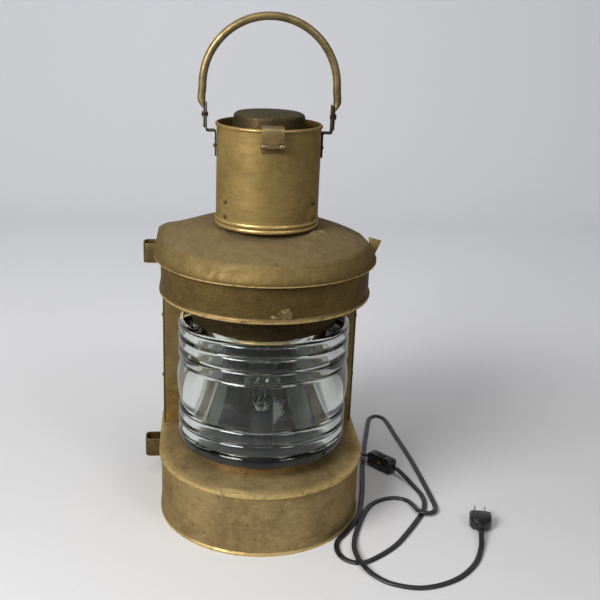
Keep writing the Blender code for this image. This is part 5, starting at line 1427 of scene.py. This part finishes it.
@dataclass
class VentCap:
    """The cap over the flue, with its strap and hinge."""

    radius: float = 0.0436
    height: float = 0.0400
    top: float = 0.5012
    draft: float = 0.0030
    top_radius: float = 0.0340
    crown: float = 0.0022
    shoulder_drop: float = 0.0050

    def build(self) -> None:
        """Make the cap and ease its strap and hinge."""
        place_piece(self.cup(), SHADED_CAP_PAINT, Body.CAP, "vent_cap")
        softened("cap_strap", STRAP_PAINT, Body.CAP)
        softened("cap_hinge_leaf", STRAP_PAINT)
        softened("cap_hinge_pin", STRAP_PAINT, width_mm=0.2)

    def cup(self) -> bpy.types.Object:
        """The turned cup: a shallow crown, a soft shoulder and a drafted wall."""
        shoulder = self.top - self.crown
        wall_top = self.radius - self.draft
        outer = []
        for step in range(9):
            share = step / 8
            outer.append((max(self.top_radius * share, 0.0003), self.top - self.crown * share**2))
        for step in range(1, 9):
            turn = QUARTER_TURN * step / 8
            outer.append(
                (
                    self.top_radius + (wall_top - self.top_radius) * math.sin(turn),
                    shoulder - self.shoulder_drop * (1 - math.cos(turn)),
                )
            )
        foot = self.top - self.height
        outer += stepped((wall_top, shoulder - self.shoulder_drop), (self.radius, foot), 12)[1:]
        outer.append((self.radius, foot))
        inner = [(max(reach - SHEET, 0.0003), level - SHEET) for reach, level in outer[:-1]]
        section = outer + [(self.radius - SHEET, foot)] + list(reversed(inner))
        return turned("cap_cup", section, 120)


@dataclass
class LampCord:
    """The flat two-core cord with its bushing, inline switch and plug."""

    width: float = 0.0066
    thickness: float = 0.0033
    spacing: float = 0.0030
    hump_share: float = 0.50
    end_reach: float = 0.030
    first: tuple[tuple[float, float, float], ...] = (
        (60, 143, 20), (63.6, 156, 15), (73.5, 167, 8), (87, 171, 4.5), (100.5, 168, 3.5), (112, 157, 3.5),
        (123, 142.5, 4.4), (134, 127.6, 6.6), (144, 114.7, 9.2), (151, 105.6, 10.7), (156.5, 98.8, 10.75),
    )  # fmt: skip
    second: tuple[tuple[float, float, float], ...] = (
        (193.5, 54.6, 10.75), (204, 39.5, 7.4), (211.5, 20, 4.2), (216, 0, 3.5), (215, -20, 3.5), (207, -42, 3.5),
        (182, -81, 3.5), (156, -115, 3.5), (125, -140, 3.5), (109, -145.5, 3.5), (96, -141, 3.5), (88, -130, 3.5),
        (86, -115, 3.5), (90, -99, 3.5), (103, -81, 3.5), (120.8, -51, 3.5), (129, -27, 3.5), (138, 13, 3.5),
        (144.5, 50, 3.5), (149.5, 80, 3.5), (155, 104, 3.5), (163, 142, 3.5), (173, 184, 3.5), (181, 216, 3.5),
        (186.5, 232, 3.5), (197, 240, 3.5), (207.5, 232, 3.5), (211.5, 213, 3.5), (215, 176, 3.5), (222, 107, 3.5),
        (225.5, 48, 3.5), (227.5, -4, 3.5), (227, -30, 4.8), (222, -43, 8.4), (212, -48.5, 10.7), (202, -43, 10.7),
        (199, -29, 7.6), (194, -13, 4.4), (181, -5, 3.5), (163, -7.5, 3.5), (145, -19.5, 3.5), (132, -40, 3.5),
        (122, -64, 3.5), (112.5, -90, 3.7), (107, -116, 6.8), (107, -138, 10.7), (110, -152, 10.7), (120, -170, 6.4),
        (140, -187, 3.5), (174, -195.5, 3.5), (213, -183, 3.5), (243, -156, 3.5), (260, -125, 6.0), (266.5, -103, 8.5),
    )  # fmt: skip
    switch_place: tuple[float, float] = (0.1755, 0.0760)
    switch_heading: float = math.radians(-49.9)
    switch_half: float = 0.0213
    plug_entry: tuple[float, float, float] = (0.2690, -0.0930, 0.0085)
    bushing_tip: tuple[float, float, float] = (0.0600, 0.1343, 0.0200)

    def build(self) -> None:
        """Lay both stretches and dress what is on them."""
        run = Vector((math.cos(self.switch_heading), math.sin(self.switch_heading), 0)) * self.switch_half
        middle = Vector((*self.switch_place, 0.01075))
        pieces = [
            softened("switch_front", VINYL, width_mm=0.5, segments=3),
            softened("switch_back", VINYL, width_mm=0.5, segments=3),
            softened("switch_wheel", VINYL, Body.WHEEL, 0.15),
            softened("switch_screw", BRASS, width_mm=0.15),
        ]
        bushing = softened("cord_bushing", VINYL, width_mm=0.4)
        plug = [
            softened("plug_body", VINYL, width_mm=0.7, segments=3),
            softened("plug_blade_1", NICKEL, width_mm=0.15),
            softened("plug_blade_2", NICKEL, width_mm=0.15),
        ]
        dress(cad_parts["inner_lead"], VINYL)
        first_ends = (Vector(self.bushing_tip), middle - run)
        second_ends = (middle + run, Vector(self.plug_entry))
        self.lay("cord_first", "cord_to_switch", self.first, first_ends)
        self.lay("cord_second", "cord_to_plug", self.second, second_ends)

    def lay(
        self,
        name: str,
        node: str,
        route: Sequence[tuple[float, float, float]],
        ends: tuple[Vector, Vector],
    ) -> None:
        """Args:
            name: The piece's name.
            node: The CAD node that it stands for.
            route: The route's points in millimetres.
            ends: Where it starts and where it ends.
        """
        marks = [ends[0]] + [Vector(point) * MILLIMETRE for point in route] + [ends[1]]
        line = self._settled(self._smooth(marks), ends)
        piece = self._ribbon(name, line)
        place_piece(piece, VINYL, Body.ROOT, node)

    def _smooth(self, marks: list[Vector]) -> list[Vector]:
        """Give even points on a smooth curve through the route."""
        fine = []
        line = [2 * marks[0] - marks[1]] + marks + [2 * marks[-1] - marks[-2]]
        for before, start, end, after in zip(line, line[1:], line[2:], line[3:]):
            for step in range(16):
                t = step / 16
                fine.append(
                    (
                        start * 2
                        + (end - before) * t
                        + (before * 2 - start * 5 + end * 4 - after) * t * t
                        + (start * 3 - before - end * 3 + after) * t * t * t
                    )
                    / 2
                )
        fine.append(marks[-1])
        even = [fine[0]]
        for point in fine[1:-1]:
            if (point - even[-1]).length >= self.spacing:
                even.append(point)
        even.append(fine[-1])
        return even

    def _settled(self, line: list[Vector], ends: tuple[Vector, Vector]) -> list[Vector]:
        """Lower a round cord's line to that of a flat one, with lower humps, except near its ends."""
        rest = 0.0035
        flat = self.thickness / 2 + 0.0001
        settled = []
        for point in line:
            near = min((point - ends[0]).length, (point - ends[1]).length)
            share = min(1.0, max(0.0, near / self.end_reach - 0.2))
            lowered = flat + (point.z - rest) * self.hump_share
            settled.append(Vector((point.x, point.y, point.z + (lowered - point.z) * share)))
        return settled

    def _ribbon(self, name: str, line: list[Vector]) -> bpy.types.Object:
        """Sweep the twin-core section along a line with its broad side level."""
        half = self.width / 2
        lobe = self.thickness / 2
        section = []
        for side in (1, -1):
            for step in range(9):
                angle = (-QUARTER_TURN + HALF_TURN * step / 8) + (0 if side > 0 else HALF_TURN)
                across = side * (half - lobe) + lobe * math.cos(angle)
                section.append((across, lobe * math.sin(angle)))
            section.append((0.0, side * lobe * 0.62))
        rings = []
        for index, point in enumerate(line):
            before = line[max(index - 1, 0)]
            after = line[min(index + 1, len(line) - 1)]
            run = (after - before).normalized()
            level = Vector((run.y, -run.x, 0)).normalized()
            up = level.cross(run).normalized()
            if up.z < 0:
                up = -up
            rings.append([point + level * across + up * rise for across, rise in section])
        piece = raised_sheet(name, rings)
        take(piece)
        bpy.ops.object.mode_set(mode="EDIT")
        bpy.ops.mesh.select_all(action="DESELECT")
        bpy.ops.mesh.select_non_manifold()
        bpy.ops.mesh.edge_face_add()
        bpy.ops.object.mode_set(mode="OBJECT")
        finish_mesh(piece)
        smooth(piece, math.radians(50))
        return piece


@dataclass(frozen=True)
class SoftLight:
    """One softbox, aimed at the middle of the lantern."""

    name: str
    azimuth: float
    elevation: float
    distance: float
    size: float
    watts: float


@dataclass
class Studio:
    """The camera, the lights, the floor and the backdrop."""

    eye: tuple[float, float, float] = (-0.0726, -1.0278, 0.6213)
    heading: float = math.radians(6.416)
    pitch: float = math.radians(18.499)
    roll: float = math.radians(2.281)
    focal_px: float = 899.4
    frame_px: float = 600.0
    aim: tuple[float, float, float] = (0.0, 0.0, 0.26)
    front_shade_colour: str = "#5E5F61"
    floor_colour: str = "#BDBCBC"
    back_colour: str = "#CFCFD3"
    painted_back_light: float = 0.22
    lights: tuple[SoftLight, ...] = field(
        default_factory=lambda: (
            SoftLight("left softbox", -46, 32, 1.7, 0.90, 42),
            SoftLight("right softbox", 34, 33, 1.9, 0.60, 8),
            SoftLight("overhead sheet", -10, 76, 1.8, 1.1, 11),
        )
    )

    def build(self) -> None:
        """Set up the whole studio."""
        self.camera()
        self.sweep()
        for light in self.lights:
            self.lamp(light)
        self.sky()
        bpy.context.scene.view_settings.view_transform = "Standard"

    def camera(self) -> None:
        """The camera at the photograph's place and angle."""
        forward = Vector(
            (
                math.sin(self.heading) * math.cos(self.pitch),
                math.cos(self.heading) * math.cos(self.pitch),
                -math.sin(self.pitch),
            )
        )
        right = Vector((math.cos(self.heading), -math.sin(self.heading), 0))
        up = right.cross(forward)
        turned_right = right * math.cos(self.roll) + up * math.sin(self.roll)
        turned_up = up * math.cos(self.roll) - right * math.sin(self.roll)
        data = bpy.data.cameras.new("photo camera")
        data.sensor_width = 36
        data.lens = self.focal_px / self.frame_px * data.sensor_width
        made = bpy.data.objects.new("photo camera", data)
        turn = Matrix((turned_right, turned_up, -forward)).transposed().to_4x4()
        made.matrix_world = Matrix.Translation(self.eye) @ turn
        bpy.context.collection.objects.link(made)
        bpy.context.scene.camera = made

    def sweep(self) -> None:
        """A paper sweep: the floor and the backdrop in one curved sheet."""
        wide = 3.0
        front = -2.4
        back = 1.5
        bend = 0.7
        high = 3.0
        profile = [(front, -0.0002), (-0.6, -0.0002), (0.0, -0.0002), (back, -0.0002)]
        for step in range(1, 13):
            turn = QUARTER_TURN * step / 12
            profile.append((back + bend * math.sin(turn), bend * (1 - math.cos(turn))))
        profile.append((back + bend, high))
        free_selection()
        bpy.ops.mesh.primitive_grid_add(x_subdivisions=1, y_subdivisions=len(profile) - 1, size=2)
        made = bpy.context.object
        made.name = "paper_sweep"
        for index, vertex in enumerate(made.data.vertices):
            depth, level = profile[index // 2]
            vertex.co = (wide if index % 2 else -wide, depth, level)
        finish_mesh(made)
        smooth(made)
        made.data.materials.append(self.paper())

    def paper(self) -> bpy.types.Material:
        """Matt grey-white paper, lighter towards the back, with painted shade on the floor in front of the lantern and
        a painted light glow behind it.
        """
        made = bpy.data.materials.new("backdrop paper")
        made.use_nodes = True
        tree = made.node_tree
        shader = tree.nodes["Principled BSDF"]
        shader.inputs["Roughness"].default_value = 0.9
        place = place_of(tree)
        depth = add_node(tree, "ShaderNodeSeparateXYZ", Vector=place).outputs["Y"]
        # The floor darkens in front of the lantern: painted shade, as light falling off towards the camera.
        near = tinted(tree, ramp(tree, depth, -0.54, -0.25), self.front_shade_colour, self.floor_colour)
        colour = tinted(tree, ramp(tree, depth, 0.1, 1.5), near, self.back_colour)
        tree.links.new(colour, shader.inputs["Base Color"])
        # A glow seen only by the camera, in reflections and through glass, rising from just in front of the lantern to
        # the back: painted light on the floor behind it, where its shadow falls, and on the backdrop.
        path = add_node(tree, "ShaderNodeLightPath")
        seen = sum_of(tree, "MAXIMUM", path.outputs["Is Camera Ray"], path.outputs["Is Glossy Ray"])
        seen = sum_of(tree, "MAXIMUM", seen, path.outputs["Is Transmission Ray"])
        lift = ramp(tree, depth, -0.05, 0.7, 0, self.painted_back_light)
        tree.links.new(sum_of(tree, "MULTIPLY", seen, lift), shader.inputs["Emission Strength"])
        shader.inputs["Emission Color"].default_value = linear("#F0F1F4")
        return made

    def lamp(self, light: SoftLight) -> None:
        """One square softbox aimed at the lantern."""
        azimuth = math.radians(light.azimuth)
        rise = math.radians(light.elevation)
        away = Vector((math.sin(azimuth) * math.cos(rise), -math.cos(azimuth) * math.cos(rise), math.sin(rise)))
        data = bpy.data.lights.new(light.name, "AREA")
        data.shape = "DISK"
        data.size = light.size
        data.energy = light.watts
        made = bpy.data.objects.new(light.name, data)
        made.location = Vector(self.aim) + away * light.distance
        made.rotation_euler = away.to_track_quat("Z", "Y").to_euler()
        bpy.context.collection.objects.link(made)

    def sky(self) -> None:
        """Even pale fill from all round."""
        world = bpy.data.worlds.new("studio fill")
        world.use_nodes = True
        background = world.node_tree.nodes["Background"]
        background.inputs["Color"].default_value = linear("#E4E6EA")
        background.inputs["Strength"].default_value = 0.22
        bpy.context.scene.world = world


def main() -> None:
    """Build the studio and the lantern in order, and log each stage when it is done."""
    logging.basicConfig(level=logging.INFO, format="%(name)s: %(message)s")
    Studio().build()
    for stage in (LampCord(), Base(), LensStage(), Housing(), RoofStage(), Chimney(), Bail(), VentCap()):
        stage.build()
        log.info("%s done", type(stage).__name__)


if __name__ == "__main__":
    main()
